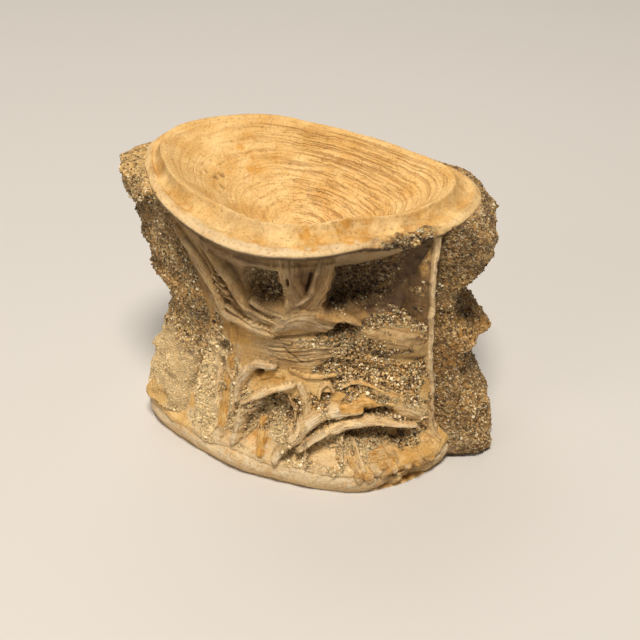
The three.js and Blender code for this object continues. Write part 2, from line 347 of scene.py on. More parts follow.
def smooth_path(path: tuple[tuple[float, float], ...], steps: int = 5) -> Array:
    """Points on a smooth curve through stations.

    Args:
        path: stations of bearing and height.
        steps: how many points are set from one station to the next.

    Returns:
        (M, 2) points, which end with the last station.
    """
    stations = np.array(path, float)
    ends = np.concatenate([2 * stations[:1] - stations[1:2], stations, 2 * stations[-1:] - stations[-2:-1]])
    points = [spline(*ends[i : i + 4], f) for i in range(len(ends) - 3) for f in np.arange(steps) / steps]
    return np.array([*points, stations[-1]])


def along_path(bearing: Array, z: Array, r: Array, path: Array) -> tuple[Array, Array, Array]:
    """Where places on the wall lie beside a path.

    Args:
        bearing: bearings of the places.
        z: their heights in mm.
        r: their radii in mm.
        path: (M, 2) stations of bearing and height.

    Returns:
        The signed distance from the path in mm, the distance run along it in mm, and the share of its length.
    """
    nearest = np.full(len(z), 1e9)
    side = np.zeros(len(z))
    run = np.zeros(len(z))
    done = 0.0
    for (b0, z0), (b1, z1) in zip(path[:-1], path[1:]):
        px = np.radians(turn_between(bearing, b0)) * r
        pz = z - z0
        dx = np.radians(turn_between(b1, b0)) * r
        dz = z1 - z0
        squared = dx * dx + dz * dz
        t = np.clip((px * dx + pz * dz) / squared, 0.0, 1.0)
        away = np.hypot(px - t * dx, pz - t * dz)
        closer = away < nearest
        length = np.sqrt(squared)
        nearest = np.where(closer, away, nearest)
        side = np.where(closer, np.sign(px * dz - pz * dx), side)
        run = np.where(closer, done + t * length, run)
        done += float(np.mean(length))
    return nearest * side, run, run / max(done, 1e-6)


@dataclass
class WallPlaces:
    """Places on the wall while its features are added: where they lie and how they look so far."""

    bearing: Array
    z: Array
    r: Array
    warp: Array
    offset: Array
    streaks: Array
    fibre: Array
    masks: dict[Tone, Array]

    def cover(self, tone: Tone, share: Array) -> None:
        """Covers the places with a tone, where they aren't covered more already."""
        self.masks[tone] = np.maximum(self.masks[tone], share)

    def roughen(self, points: Array, arc: Array) -> None:
        """Adds the unevenness of bone and sand, the fibres of the waist and the drape above it.

        Args:
            points: (N, 3) the places in mm.
            arc: their distance from the front in mm, measured round the waist.
        """
        sandy = self.masks[Tone.SAND]
        self.offset = self.offset + (0.10 + 0.30 * sandy) * fractal(points, 2.2, 3, 23)
        self.offset = self.offset + (0.02 + 0.13 * sandy) * fractal(points, 0.55, 2, 29)
        fibre = lattice_noise(xyz(arc / 4.5, self.z / 0.30, self.warp * 0.4), 31)
        fibrous = smooth((7.0 - np.abs(arc)) / 3.0) * smooth((2.6 - np.abs(self.z - FIBRE_HEIGHT)) / 1.2)
        self.offset = self.offset + 0.14 * fibrous * fibre * (1.0 - 0.5 * sandy)
        drape = lattice_noise(xyz(arc / 0.5, self.z / 7.0, self.warp * 0.3), 37)
        self.offset = self.offset + 0.06 * smooth((self.z - 23.0) / 4.0) * drape * (1.0 - sandy)


@dataclass(frozen=True)
class WallPlan:
    """Every feature of the wall, placed by bearing and height."""

    pits: tuple[Pit, ...]
    struts: tuple[Strut, ...]
    grooves: tuple[Groove, ...]
    patches: tuple[Patch, ...]
    plate_bearing: float = 330.0
    plate_levels: tuple[float, ...] = (3.2, 6.8, 20.0, 34.4)
    plate_radii: tuple[float, ...] = (21.9, 20.6, 19.3, 19.0)
    buttress_turn: float = 30.0
    buttress_back: float = 7.0
    buttress_inset: float = 0.5
    buttress_top: float = 22.6
    buttress_slope: float = 1.9
    drape_foot: float = 24.0
    # Painted shade: brown that rises with height up to the lip, where its overhang shades the wall.
    painted_shade_levels: tuple[float, ...] = (15.6, 17.2, 19.6, 20.4, 22.6, 24.6, 34.0)
    painted_shade: tuple[float, ...] = (0.0, 0.36, 0.38, 0.34, 0.5, 0.76, 0.88)

    def buttress(self, bearing: Array, z: Array, r: Array) -> Array:
        """How far the buttress on the left of the plate stands out of the wall.

        Args:
            bearing: bearings of the places.
            z: their heights in mm.
            r: radius of the smooth envelope there.

        Returns:
            Distances in mm.
        """
        turn = turn_between(self.plate_bearing, bearing)
        edge = np.interp(z, self.plate_levels, self.plate_radii) - self.buttress_inset
        side = np.where(turn < 0, hump(turn, self.buttress_back), hump(turn, self.buttress_turn))
        return np.maximum(0.0, edge - r) * side * smooth((self.buttress_top - z) / self.buttress_slope)

    def lay_out(self, bearing: Array, z: Array, r: Array, points: Array) -> WallPlaces:
        """Works out how far the wall stands out of its smooth envelope, what covers it and where shade is
        painted on it.

        Args:
            bearing: bearings of the places.
            z: their heights in mm.
            r: radius of the smooth envelope there.
            points: (N, 3) the same places in mm, for the noise.

        Returns:
            The places with their offsets in mm, their streaks and a share from 0 to 1 for each tone.
        """
        arc = np.radians(turn_between(bearing, FRONT)) * WAIST_RADIUS
        level = xyz(arc / 5.0, 1.0, z / STREAK)
        upright = xyz(z / 7.0, 40.0, arc / (1.4 * STREAK))
        wall = WallPlaces(
            bearing,
            z,
            r,
            warp=fractal(points, 1.7, 3, 11),
            offset=self.buttress(bearing, z, r),
            streaks=np.where((z > self.drape_foot)[:, None], upright, level),
            fibre=0.35
            + 0.65 * smooth((8.0 - np.abs(arc)) / 3.0) * smooth((3.0 - np.abs(z - FIBRE_HEIGHT)) / 1.2),
            masks={tone: np.zeros(len(z)) for tone in Tone},
        )
        wall.masks[Tone.OCHRE] += 0.55 * smooth(fractal(points, 6.0, 3, 17) * 1.6 - 0.1)
        # Painted shade under the lip, laid as brown by height.
        wall.masks[Tone.BROWN] += np.interp(z, self.painted_shade_levels, self.painted_shade) * (0.88 + 0.25 * wall.warp)
        self.sink_pits(wall)
        self.lay_patches(wall)
        wall.roughen(points, arc)
        for number, strut in enumerate(self.struts):
            self.raise_strut(strut, number, wall)
        for groove in self.grooves:
            self.cut_groove(groove, wall)
        return wall

    def sink_pits(self, wall: WallPlaces) -> None:
        """Sinks the pits; where two overlap, the deeper one counts.

        Args:
            wall: the places, which are changed.
        """
        sunk = np.zeros(len(wall.z))
        for pit in self.pits:
            step = pit.step(wall.bearing, wall.z, wall.r, wall.warp)
            sunk = np.maximum(sunk, pit.depth * step)
            wall.cover(Tone.SAND, pit.sand * step)
            wall.cover(Tone.DARK, pit.dark * step)
        wall.offset = wall.offset - sunk

    def lay_patches(self, wall: WallPlaces) -> None:
        """Lays the patches; strong ochre is bare bone, so it takes the sand away.

        Args:
            wall: the places, which are changed.
        """
        for patch in self.patches:
            across = np.radians(turn_between(wall.bearing, patch.bearing)) * wall.r / patch.wide
            q = np.hypot(across, (wall.z - patch.z) / patch.high) + wall.warp * patch.ragged
            share = smooth((1.25 - q) / 0.5)
            wall.cover(patch.tone, patch.strength * share)
            if patch.tone is Tone.OCHRE and patch.strength > 0.7:
                wall.masks[Tone.SAND] = wall.masks[Tone.SAND] * (1.0 - share)
            wall.offset = wall.offset + patch.rise * share

    def raise_strut(self, strut: Strut, number: int, wall: WallPlaces) -> None:
        """Raises one strut with its streaks and tones.

        Args:
            strut: its path and sizes.
            number: its place in the list, which picks its pattern.
            wall: the places, which are changed.
        """
        path = smooth_path(strut.path)
        reach = 3.0 * strut.wide
        spread = np.ptp(path[:, 0]) / 2 + math.degrees(reach / LEAST_RADIUS)
        near = np.abs(turn_between(wall.bearing, path[:, 0].mean())) < spread
        near &= (wall.z > path[:, 1].min() - reach) & (wall.z < path[:, 1].max() + reach)
        if not near.any():
            return
        b, z, r, warp = wall.bearing[near], wall.z[near], wall.r[near], wall.warp[near]
        away, run, share = along_path(b, z, r, path)
        wide = strut.wide * mix(0.95, strut.end, np.abs(2.0 * share - 1.0) ** 2) * (1.0 + 0.3 * warp)
        profile = (1.0 - np.minimum(1.0, np.abs(away) / wide) ** 2) ** 0.8
        streak = lattice_noise(xyz(run / 1.8, away / 0.24, number * 3.7), 41)
        lumps = lattice_noise(xyz(run / 0.7, away / 0.6, number * 5.1), 43)
        level = self.buttress(b, z, r) + strut.level
        level = level + strut.streaks * streak + strut.crumbly * lumps + 0.12 * warp
        wall.offset[near] += np.maximum(0.0, level - wall.offset[near]) * profile
        clean = np.clip(profile * 1.5, 0.0, 1.0)
        local = xyz(run / 2.2, 3.7 * number + 60.0, away / STREAK)
        wall.streaks[near] = np.where((profile > 0.08)[:, None], local, wall.streaks[near])
        wall.fibre[near] = np.maximum(wall.fibre[near] * (1.0 - clean), 0.8 * clean)
        patchy = smooth(0.75 + 1.1 * warp + 0.5 * lumps)
        masks = wall.masks
        masks[Tone.SAND][near] *= 1.0 - clean * (0.25 + 0.7 * patchy)
        masks[Tone.DARK][near] *= 1.0 - clean
        masks[Tone.BROWN][near] *= 1.0 - 0.3 * clean
        white = strut.white * profile * (0.5 + 0.5 * patchy)
        masks[Tone.WHITE][near] = np.maximum(masks[Tone.WHITE][near] * (1.0 - clean), white)
        masks[Tone.OCHRE][near] = mix(masks[Tone.OCHRE][near], strut.ochre, clean)

    def cut_groove(self, groove: Groove, wall: WallPlaces) -> None:
        """Cuts one groove and paints shade into it.

        Args:
            groove: its path and sizes.
            wall: the places, which are changed.
        """
        away, _, share = along_path(wall.bearing, wall.z, wall.r, smooth_path(groove.path))
        wide = groove.wide * mix(1.0, groove.end, np.abs(2.0 * share - 1.0) ** 2) * (1.0 + 0.3 * wall.warp)
        cut = hump(away, LEAST_WIDTH + wide)
        wall.cover(Tone.DARK, groove.dark * cut)
        wall.cover(Tone.OCHRE, groove.ochre * cut)
        wall.offset = wall.offset - groove.depth * cut


FRONT_WALL = WallPlan(
    pits=(
        Pit(248, 29.3, 2.9, 3.1, 3.6, sand=0.8, dark=0.62, power=2.4, soft=0.45),
        Pit(307, 29.4, 5.5, 5.3, 4.6, sand=0.75, dark=0.72, power=3.6, soft=0.4),
        Pit(271, 29.3, 2.0, 4.0, 0.35, sand=0.1, power=2.6, soft=0.9),
        Pit(231, 30.0, 1.7, 3.4, 1.1, sand=0.1, power=2.4, soft=0.8),
        Pit(224, 25.6, 0.9, 0.9, 1.5, sand=0.5, dark=0.6, power=2.0, soft=0.6),
        Pit(294, 22.6, 2.0, 0.9, 1.6, sand=0.9, dark=0.5, power=2.4),
        Pit(244, 15.7, 0.55, 0.8, 1.7, sand=0.0, dark=0.95, power=2.0, soft=0.5, ragged=0.1),
        Pit(256, 9.8, 3.2, 2.7, 1.5, sand=1.0, dark=0.15, power=2.2),
        Pit(264, 4.4, 2.0, 1.0, 0.8, sand=0.8, power=2.4),
        Pit(283, 12.4, 0.95, 0.85, 0.9, sand=0.7, dark=0.25, power=2.0),
        Pit(284, 5.4, 3.2, 1.7, 1.2, sand=0.95, power=2.4),
        Pit(306, 10.1, 3.2, 0.8, 1.3, sand=1.0, dark=0.2, power=2.4),
        Pit(304, 7.4, 3.6, 1.3, 1.8, sand=1.0, dark=0.35, power=2.6),
        Pit(314, 6.6, 1.2, 1.1, 2.4, sand=0.7, dark=0.85, power=2.0),
        Pit(222, 17.3, 1.3, 1.2, 1.3, sand=1.0, dark=0.45, power=2.2),
        Pit(220, 12.6, 1.2, 3.2, 0.7, sand=1.0, power=2.0),
        Pit(231, 6.8, 0.8, 2.2, 0.9, sand=0.95, dark=0.1, power=2.2),
        Pit(241, 6.8, 1.2, 2.0, 1.1, sand=1.0, dark=0.1, power=2.2),
        Pit(222, 7.0, 0.8, 1.6, 0.7, sand=0.8, dark=0.2, power=2.2),
        Pit(78, 28.0, 3.0, 4.4, 3.4, sand=0.8, dark=0.5, power=2.4, soft=0.7, ragged=0.7),
        Pit(108, 28.4, 3.4, 4.6, 3.6, sand=0.8, dark=0.5, power=2.3, soft=0.7, ragged=0.7),
        Pit(94, 10.5, 7.0, 5.4, 1.3, sand=0.7, dark=0.1, power=2.2, soft=0.8, ragged=1.0),
    ),
    struts=(
        Strut(((198, 33.2), (210, 30.4), (217, 27.3), (223, 24.1)), 1.0, 0.9, white=0.5, streaks=0.1),
        Strut(((222, 32.8), (228, 29.9), (233, 27.5), (238, 25.6)), 0.8, 0.7, white=0.4, streaks=0.1),
        Strut(((219, 28.8), (226, 28.0)), 0.3, 0.5, white=0.4, end=1.0),
        Strut(((220, 27.7), (228, 27.0)), 0.3, 0.5, white=0.4, end=1.0),
        Strut(((222, 26.6), (230, 26.2)), 0.3, 0.4, white=0.3, end=1.0),
        Strut(((220, 23.6), (232, 23.1), (243, 22.5), (253, 21.7)), 1.0, 0.9, white=0.6, streaks=0.14),
        Strut(((236, 24.6), (247, 24.0), (257, 23.6)), 0.8, 0.4, white=0.5, streaks=0.14),
        Strut(((259, 34.8), (261, 30.6), (265, 26.8), (268, 24.6)), 2.0, 0.10, white=0.35, streaks=0.16),
        Strut(
            ((284, 34.2), (281, 30.6), (276, 27.2), (271, 25.4)),
            2.0, 0.20, white=0.3, ochre=0.3, streaks=0.16,
        ),
        Strut(((277, 33.8), (274.5, 30.6), (272, 28.2), (266, 27.0)), 0.45, 0.35, white=0.7, streaks=0.1),
        Strut(((254, 22.6), (262, 24.2), (272, 24.6), (285, 23.2)), 1.9, 0.6, white=0.8, streaks=0.1),
        Strut(
            ((277, 25.2), (286, 24.2), (293, 23.9), (301, 22.8)),
            0.75, 0.85, white=0.3, ochre=0.5, streaks=0.1,
        ),
        Strut(
            ((304, 21.0), (316, 20.6), (328, 19.6)),
            1.5, 0.05, white=0.35, ochre=0.2, crumbly=0.2, streaks=0.12, end=0.9,
        ),
        Strut(((253, 17.0), (243, 16.8), (237, 15.2), (234, 13.3), (233, 11.0)), 0.85, 1.0, white=0.9),
        Strut(((264, 14.6), (254, 13.7), (245, 12.3), (237, 10.9)), 0.75, 1.15, white=0.75),
        Strut(((248, 11.6), (239, 9.8), (236, 8.4), (234, 4.9)), 1.0, 0.9, white=0.9, crumbly=0.25),
        Strut(((268, 14.5), (272, 12.5), (272, 10.3)), 0.75, 0.6, white=0.6),
        Strut(((279, 12.4), (280, 14.0), (284, 14.6), (287, 13.4)), 0.35, 0.5, white=0.5, ochre=0.3),
        Strut(
            ((298, 11.0), (286, 11.0), (277, 10.2), (269, 8.4), (262, 6.0), (258, 4.4)),
            1.2, 1.3, white=1.0,
        ),
        Strut(
            ((318, 8.1), (306, 9.1), (293, 9.4), (285, 8.7), (277, 7.6), (268, 5.6)),
            0.7, 1.1, white=0.8,
        ),
        Strut(((311, 11.5), (300, 11.6), (290, 11.6)), 0.7, 0.8, white=0.1, ochre=0.85),
        Strut(
            ((309, 13.0), (319, 10.2), (326, 7.4), (328, 4.6)),
            1.3, 0.9, white=0.6, ochre=0.2, crumbly=0.12,
        ),
        Strut(((289, 7.6), (288, 5.6), (287, 3.8)), 0.4, 0.4, white=0.8),
        Strut(((294, 7.0), (295, 3.9)), 0.4, 0.4, white=0.5),
        Strut(((272, 6.4), (272, 3.6)), 0.45, 0.4, white=0.8),
        Strut(((248, 8.6), (249, 4.0)), 0.9, 0.4, white=0.0, ochre=0.95),
        Strut(((222, 8.5), (226, 4.6)), 0.4, 0.4, white=0.7),
        Strut(((227, 21.5), (226, 17.0), (224, 12.0), (226, 6.5)), 0.9, 0.35, white=0.1, ochre=0.8),
        Strut(((262, 16.6), (275, 15.6), (292, 15.7)), 0.5, 0.35, white=0.3, ochre=0.4, streaks=0.14),
        Strut(((246, 14.9), (252, 15.6), (258, 15.4)), 0.6, 0.2, white=0.0, ochre=0.9),
        Strut(((232, 27.2), (241, 25.2), (250, 24.2), (258, 23.6)), 0.3, 0.5, white=0.5, end=1.0),
        Strut(((226, 25.0), (238, 23.6), (248, 22.9), (256, 22.0)), 0.25, 0.75, white=0.5, end=1.0),
        Strut(((228, 22.6), (240, 21.7), (252, 21.0), (262, 20.6)), 0.25, 0.3, white=0.5, end=1.0),
        Strut(((240, 26.6), (250, 25.4), (260, 24.8)), 0.28, 0.3, white=0.5, end=1.0),
        Strut(((255, 18.4), (268, 18.0), (284, 18.4), (298, 17.6)), 0.25, 0.25, white=0.4, end=1.0),
        Strut(((250, 19.6), (264, 19.4), (280, 19.8), (296, 19.2)), 0.25, 0.25, white=0.4, end=1.0),
        Strut(((288, 13.6), (300, 14.2), (314, 12.6)), 0.3, 0.35, white=0.2, ochre=0.5, crumbly=0.2),
        Strut(((262, 12.8), (266, 10.6), (266, 8.8)), 0.3, 0.3, white=0.5, crumbly=0.15),
        Strut(((224, 15.8), (230, 12.0), (231, 8.6)), 0.4, 0.4, white=0.6, crumbly=0.2),
        Strut(((217, 16.0), (219, 10.5), (222, 5.6)), 0.45, 0.35, white=0.7, crumbly=0.25),
        Strut(((92, 34.4), (94, 29.0), (92, 24.0), (94, 21.0)), 1.3, 1.2, white=0.4, streaks=0.14),
        Strut(((94, 21.0), (92, 16.0), (93, 10.0), (96, 4.6)), 0.9, 1.1, white=0.6, crumbly=0.2),
        Strut(
            ((72, 23.6), (80, 22.6), (93, 21.4), (104, 22.0), (118, 23.4)),
            1.3, 0.9, white=0.5, streaks=0.14,
        ),
        Strut(((91, 17.6), (85, 14.0), (81, 9.6), (80, 4.8)), 0.8, 1.1, white=0.6, crumbly=0.2),
        Strut(((95, 18.0), (103, 14.6), (108, 10.0), (110, 4.8)), 0.9, 1.1, white=0.6, crumbly=0.2),
        Strut(((85, 13.0), (88, 9.0), (88, 5.0)), 0.4, 0.7, white=0.6),
        Strut(((103, 13.6), (101, 9.0), (103, 5.0)), 0.4, 0.7, white=0.6),
        Strut(((78, 15.6), (74, 11.0), (72, 5.4)), 0.5, 0.6, white=0.5, crumbly=0.2),
        Strut(((110, 15.8), (116, 11.0), (119, 5.4)), 0.5, 0.6, white=0.5, crumbly=0.2),
        Strut(((93, 27.0), (100, 24.8), (110, 23.8)), 0.5, 0.7, white=0.5),
        Strut(((92, 26.0), (84, 24.6), (75, 24.4)), 0.5, 0.7, white=0.5),
        Strut(((100, 33.6), (98, 30.0), (94, 27.4)), 0.6, 0.5, white=0.4),
        Strut(((118, 33.0), (116, 28.0), (112, 24.4)), 0.7, 0.4, white=0.4),
        Strut(((70, 33.0), (71, 28.6), (75, 24.6)), 0.7, 0.4, white=0.4),
        Strut(((76, 19.8), (90, 19.0), (106, 19.6), (120, 19.2)), 0.3, 0.25, white=0.4, end=1.0),
        Strut(((80, 18.2), (94, 17.8), (112, 18.2)), 0.3, 0.25, white=0.4, end=1.0),
    ),
    grooves=(
        Groove(((213, 32.3), (219, 30.1), (223, 28.4)), 0.5, 1.4, 0.9),
        Groove(((261, 31.2), (261, 29.9)), 0.3, 0.7, 0.7, 0.3),
        Groove(((273, 31.8), (272, 30.2), (271, 28.8)), 0.4, 0.9, 0.45, 0.8),
        Groove(((258, 19.8), (263, 18.7), (269, 17.7)), 0.14, 0.35, 0.75, end=1.0),
        Groove(((306, 18.3), (316, 17.7), (327, 16.8)), 0.7, 0.5, 0.35),
        Groove(((250, 21.5), (262, 21.4), (276, 21.8), (290, 21.4)), 0.6, 0.6, 0.35),
        Groove(((256, 12.6), (246, 11.0), (238, 9.9)), 0.35, 0.7, 0.5),
        Groove(((231, 16.5), (229, 13.0), (229, 9.5)), 0.25, 0.4, 0.35),
        Groove(((281, 8.6), (274, 7.4), (267, 5.6)), 0.2, 0.4, 0.5),
        Groove(((306, 17.1), (292, 17.4), (280, 16.9)), 0.2, 0.35, 0.35, 0.4),
    ),
    patches=(
        Patch(Tone.SAND, 301, 16.0, 5.0, 2.3, rise=-0.5),
        Patch(Tone.SAND, 318, 14.6, 3.6, 2.6, rise=-0.4),
        Patch(Tone.SAND, 296, 19.3, 2.6, 1.4, 0.9),
        Patch(Tone.SAND, 300, 13.3, 2.0, 1.0, 0.9),
        Patch(Tone.SAND, 215, 20.5, 1.4, 2.4, 0.9),
        Patch(Tone.SAND, 216, 12.0, 3.4, 9.0, 0.85),
        Patch(Tone.SAND, 226, 9.5, 3.0, 5.0, 0.62),
        Patch(Tone.SAND, 238, 8.0, 4.0, 4.2, 0.6),
        Patch(Tone.SAND, 272, 8.0, 8.0, 5.0, 0.62),
        Patch(Tone.SAND, 306, 8.0, 7.0, 5.4, 0.66),
        Patch(Tone.SAND, 312, 21.0, 6.0, 2.6, 0.64),
        Patch(Tone.SAND, 292, 20.6, 5.0, 1.6, 0.52),
        Patch(Tone.WHITE, 219, 10.0, 4.5, 8.5, 0.95),
        Patch(Tone.WHITE, 240, 6.0, 7.0, 4.5, 0.7),
        Patch(Tone.WHITE, 275, 5.0, 9.0, 3.5, 0.6),
        Patch(Tone.SAND, 222, 26.5, 3.0, 3.0, 0.38),
        # Painted shade: the dark and brown patches on this line and the next six darken the big pit, the
        # ledge below it and the wall under the lip.
        Patch(Tone.DARK, 313, 27.2, 3.0, 2.6, 0.75),
        Patch(Tone.DARK, 312, 21.4, 6.5, 3.0, 0.32),
        Patch(Tone.DARK, 321, 28.5, 3.6, 6.0, 0.5),
        Patch(Tone.BROWN, 320, 28.0, 5.0, 7.0, 1.0),
        Patch(Tone.BROWN, 312, 21.5, 7.0, 3.2, 0.66),
        Patch(Tone.BROWN, 270, 29.0, 2.6, 4.5, 1.0),
        Patch(Tone.DARK, 300, 31.8, 5.0, 1.6, 0.45),
        Patch(Tone.WHITE, 240, 31.5, 4.5, 3.0, 0.45),
        Patch(Tone.WHITE, 268, 19.0, 6.0, 2.0, 0.45),
        Patch(Tone.WHITE, 228, 6.0, 1.6, 2.4, 0.6),
        Patch(Tone.SAND, 76, 8.0, 3.0, 5.0, 0.6),
        Patch(Tone.SAND, 114, 9.0, 4.0, 6.0, 0.6),
        Patch(Tone.SAND, 92, 3.8, 8.0, 1.6, 0.55),
        Patch(Tone.SAND, 122, 24.0, 2.0, 9.0, 0.6),
        Patch(Tone.SAND, 66, 22.0, 1.6, 10.0, 0.6),
        Patch(Tone.OCHRE, 229, 20.6, 2.4, 1.4, 0.75),
        Patch(Tone.OCHRE, 247, 5.4, 2.4, 1.6, 0.8),
        Patch(Tone.OCHRE, 252, 14.8, 1.6, 1.0, 0.9),
        Patch(Tone.OCHRE, 290, 12.6, 2.2, 1.0, 0.6),
        Patch(Tone.OCHRE, 309, 3.8, 4.4, 1.7, 0.85),
        # Painted shade in a small sunken hole near the lower rim.
        Patch(Tone.BROWN, 303, 4.4, 0.8, 0.8, 1.0, rise=-0.6),
        Patch(Tone.OCHRE, 296, 24.6, 2.6, 1.0, 0.6),
        Patch(Tone.OCHRE, 322, 24.4, 2.8, 0.8, 0.6),
    ),
)


def fresh() -> None:
    """Leaves nothing selected, so that the next operator works on its own piece only."""
    if bpy.context.object is not None and bpy.context.object.mode != "OBJECT":
        bpy.ops.object.mode_set(mode="OBJECT")
    bpy.ops.object.select_all(action="DESELECT")


def read_points(piece: bpy.types.Object) -> Array:
    """(N, 3) vertex positions of a mesh, in its own units.

    Args:
        piece: the mesh object.

    Returns:
        The positions.
    """
    flat = np.zeros(len(piece.data.vertices) * 3, np.float32)
    piece.data.vertices.foreach_get("co", flat)
    return flat.reshape(-1, 3).astype(float)


def write_points(piece: bpy.types.Object, points: Array) -> None:
    """Moves the vertices of a mesh to (N, 3) places in mm."""
    piece.data.vertices.foreach_set("co", (points * MM).astype(np.float32).ravel())
    piece.data.update()


def write_share(piece: bpy.types.Object, name: str, values: Array | float) -> None:
    """Stores one value from 0 to 1 for each vertex.

    Args:
        piece: the mesh object.
        name: the attribute's name.
        values: the values, or one for all.
    """
    attribute = piece.data.attributes.new(name, "FLOAT", "POINT")
    values = np.clip(np.broadcast_to(values, len(piece.data.vertices)), 0.0, 1.0)
    attribute.data.foreach_set("value", values.astype(np.float32))


def read_share(piece: bpy.types.Object, tone: Tone) -> Array:
    """The value that each vertex of a piece holds for a tone.

    Args:
        piece: the mesh object.
        tone: the tone.

    Returns:
        Values from 0 to 1.
    """
    values = np.zeros(len(piece.data.vertices), np.float32)
    piece.data.attributes[tone.value].data.foreach_get("value", values)
    return values


def dress(
    piece: bpy.types.Object, shares: dict[Tone, Array | float], streaks: Array, fibre: Array | float
) -> None:
    """Stores what the bone's material reads.

    Args:
        piece: the mesh object.
        shares: how much of each tone covers each vertex.
        streaks: (N, 3) coordinates in which the fine streaks are drawn; they run along the first two.
        fibre: how clearly the streaks show.
    """
    for tone, values in shares.items():
        write_share(piece, tone.value, values)
    attribute = piece.data.attributes.new("streaks", "FLOAT_VECTOR", "POINT")
    attribute.data.foreach_set("vector", streaks.astype(np.float32).ravel())
    write_share(piece, "fibre", fibre)


def ball(name: str, segments: int, rings: int) -> tuple[bpy.types.Object, Array, Array]:
    """A sphere whose vertices are known by column and row.

    Args:
        name: the piece's name.
        segments: columns round the axis.
        rings: rows from the upper pole, row 0, to the lower one.

    Returns:
        The object, and the column and row of each vertex.
    """
    fresh()
    bpy.ops.mesh.primitive_uv_sphere_add(segments=segments, ring_count=rings, radius=1.0)
    piece = bpy.context.object
    piece.name = name
    p = read_points(piece)
    column = np.rint(np.mod(np.arctan2(p[:, 1], p[:, 0]), 2 * math.pi) / (2 * math.pi) * segments).astype(int)
    row = np.rint(np.arccos(np.clip(p[:, 2], -1, 1)) / math.pi * rings).astype(int)
    return piece, column % segments, row


def sheet(name: str, columns: int, rows: int) -> tuple[bpy.types.Object, Array, Array]:
    """A flat grid whose vertices are known by column and row.

    Args:
        name: the piece's name.
        columns: how many faces it has across.
        rows: how many faces it has upwards.

    Returns:
        The object, and the column and row of each vertex, counted from 0.
    """
    fresh()
    bpy.ops.mesh.primitive_grid_add(x_subdivisions=columns, y_subdivisions=rows, size=2.0)
    piece = bpy.context.object
    piece.name = name
    p = (read_points(piece) + 1) / 2
    return piece, np.rint(p[:, 0] * columns).astype(int), np.rint(p[:, 1] * rows).astype(int)


def station_of(row: Array, weights: tuple[int, ...], rows: int) -> Array:
    """Place of each row along the stations, whose gaps share the rows out by their weights."""
    starts = np.concatenate([[0], np.cumsum(weights)]) / sum(weights) * rows
    return np.interp(row, starts, range(len(starts)))


def through(stations: list[tuple[Array, Array]], t: Array) -> tuple[Array, Array]:
    """Radius and height on a smooth curve through stations.

    Args:
        stations: for each station, arrays of radius and height, one value for each point.
        t: the place of each point along the stations, from 0 to the last station's number.

    Returns:
        Arrays of radius and height.
    """
    r = np.stack([np.broadcast_to(s[0], t.shape) for s in stations])
    z = np.stack([np.broadcast_to(s[1], t.shape) for s in stations])
    last = len(stations) - 1
    i = np.clip(np.floor(t).astype(int), 0, last - 1)
    f = t - i
    at = np.arange(len(t))
    out = []
    for v in (r, z):
        a, b, c, d = (v[np.clip(i + k, 0, last), at] for k in (-1, 0, 1, 2))
        out.append(spline(a, b, c, d, f))
    return out[0], out[1]


def edit(piece: bpy.types.Object) -> None:
    """Opens one piece in edit mode, with nothing else selected."""
    pick(piece)
    bpy.ops.object.mode_set(mode="EDIT")


def pick(piece: bpy.types.Object) -> None:
    """Selects one piece and makes it active.

    Args:
        piece: the mesh object.
    """
    fresh()
    piece.select_set(True)
    bpy.context.view_layer.objects.active = piece


def tidy_normals(piece: bpy.types.Object) -> None:
    """Turns all faces outwards and shades them smooth.

    Args:
        piece: the mesh object.
    """
    edit(piece)
    bpy.ops.mesh.select_all(action="SELECT")
    bpy.ops.mesh.normals_make_consistent(inside=False)
    bpy.ops.object.mode_set(mode="OBJECT")
    bpy.ops.object.shade_smooth()
    fresh()


def settle(piece: bpy.types.Object, node: str | None, material: bpy.types.Material) -> None:
    """Gives a finished piece its material, its body and the CAD node that it stands for.

    Args:
        piece: the mesh object.
        node: the CAD node that it replaces, if any.
        material: its material.
    """
    piece.data.materials.clear()
    piece.data.materials.append(material)
    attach(piece, "root")
    if node:
        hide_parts(node)
    log.info("%s: %d faces", piece.name, len(piece.data.polygons))


def linear(code: str) -> tuple[float, float, float, float]:
    """Linear colour of an sRGB hex code.

    Args:
        code: six hex digits, such as "ebc98a".

    Returns:
        Red, green, blue and alpha, from 0 to 1.
    """
    parts = [int(code[i : i + 2], 16) / 255 for i in (0, 2, 4)]
    red, green, blue = (p / 12.92 if p <= 0.04045 else ((p + 0.055) / 1.055) ** 2.4 for p in parts)
    return red, green, blue, 1.0


def per_mm(size: float) -> float:
    """Scale of a pattern whose lumps have a size in mm."""
    return 1 / (size * MM)


@dataclass(frozen=True)
class Layer:
    """A cover that lies where a tone's attribute says, painted shade included: its colour, and the spots that
    break it up.
    """

    tone: Tone
    code: str
    strength: float = 1.0
    spots: tuple[float, ...] = ()


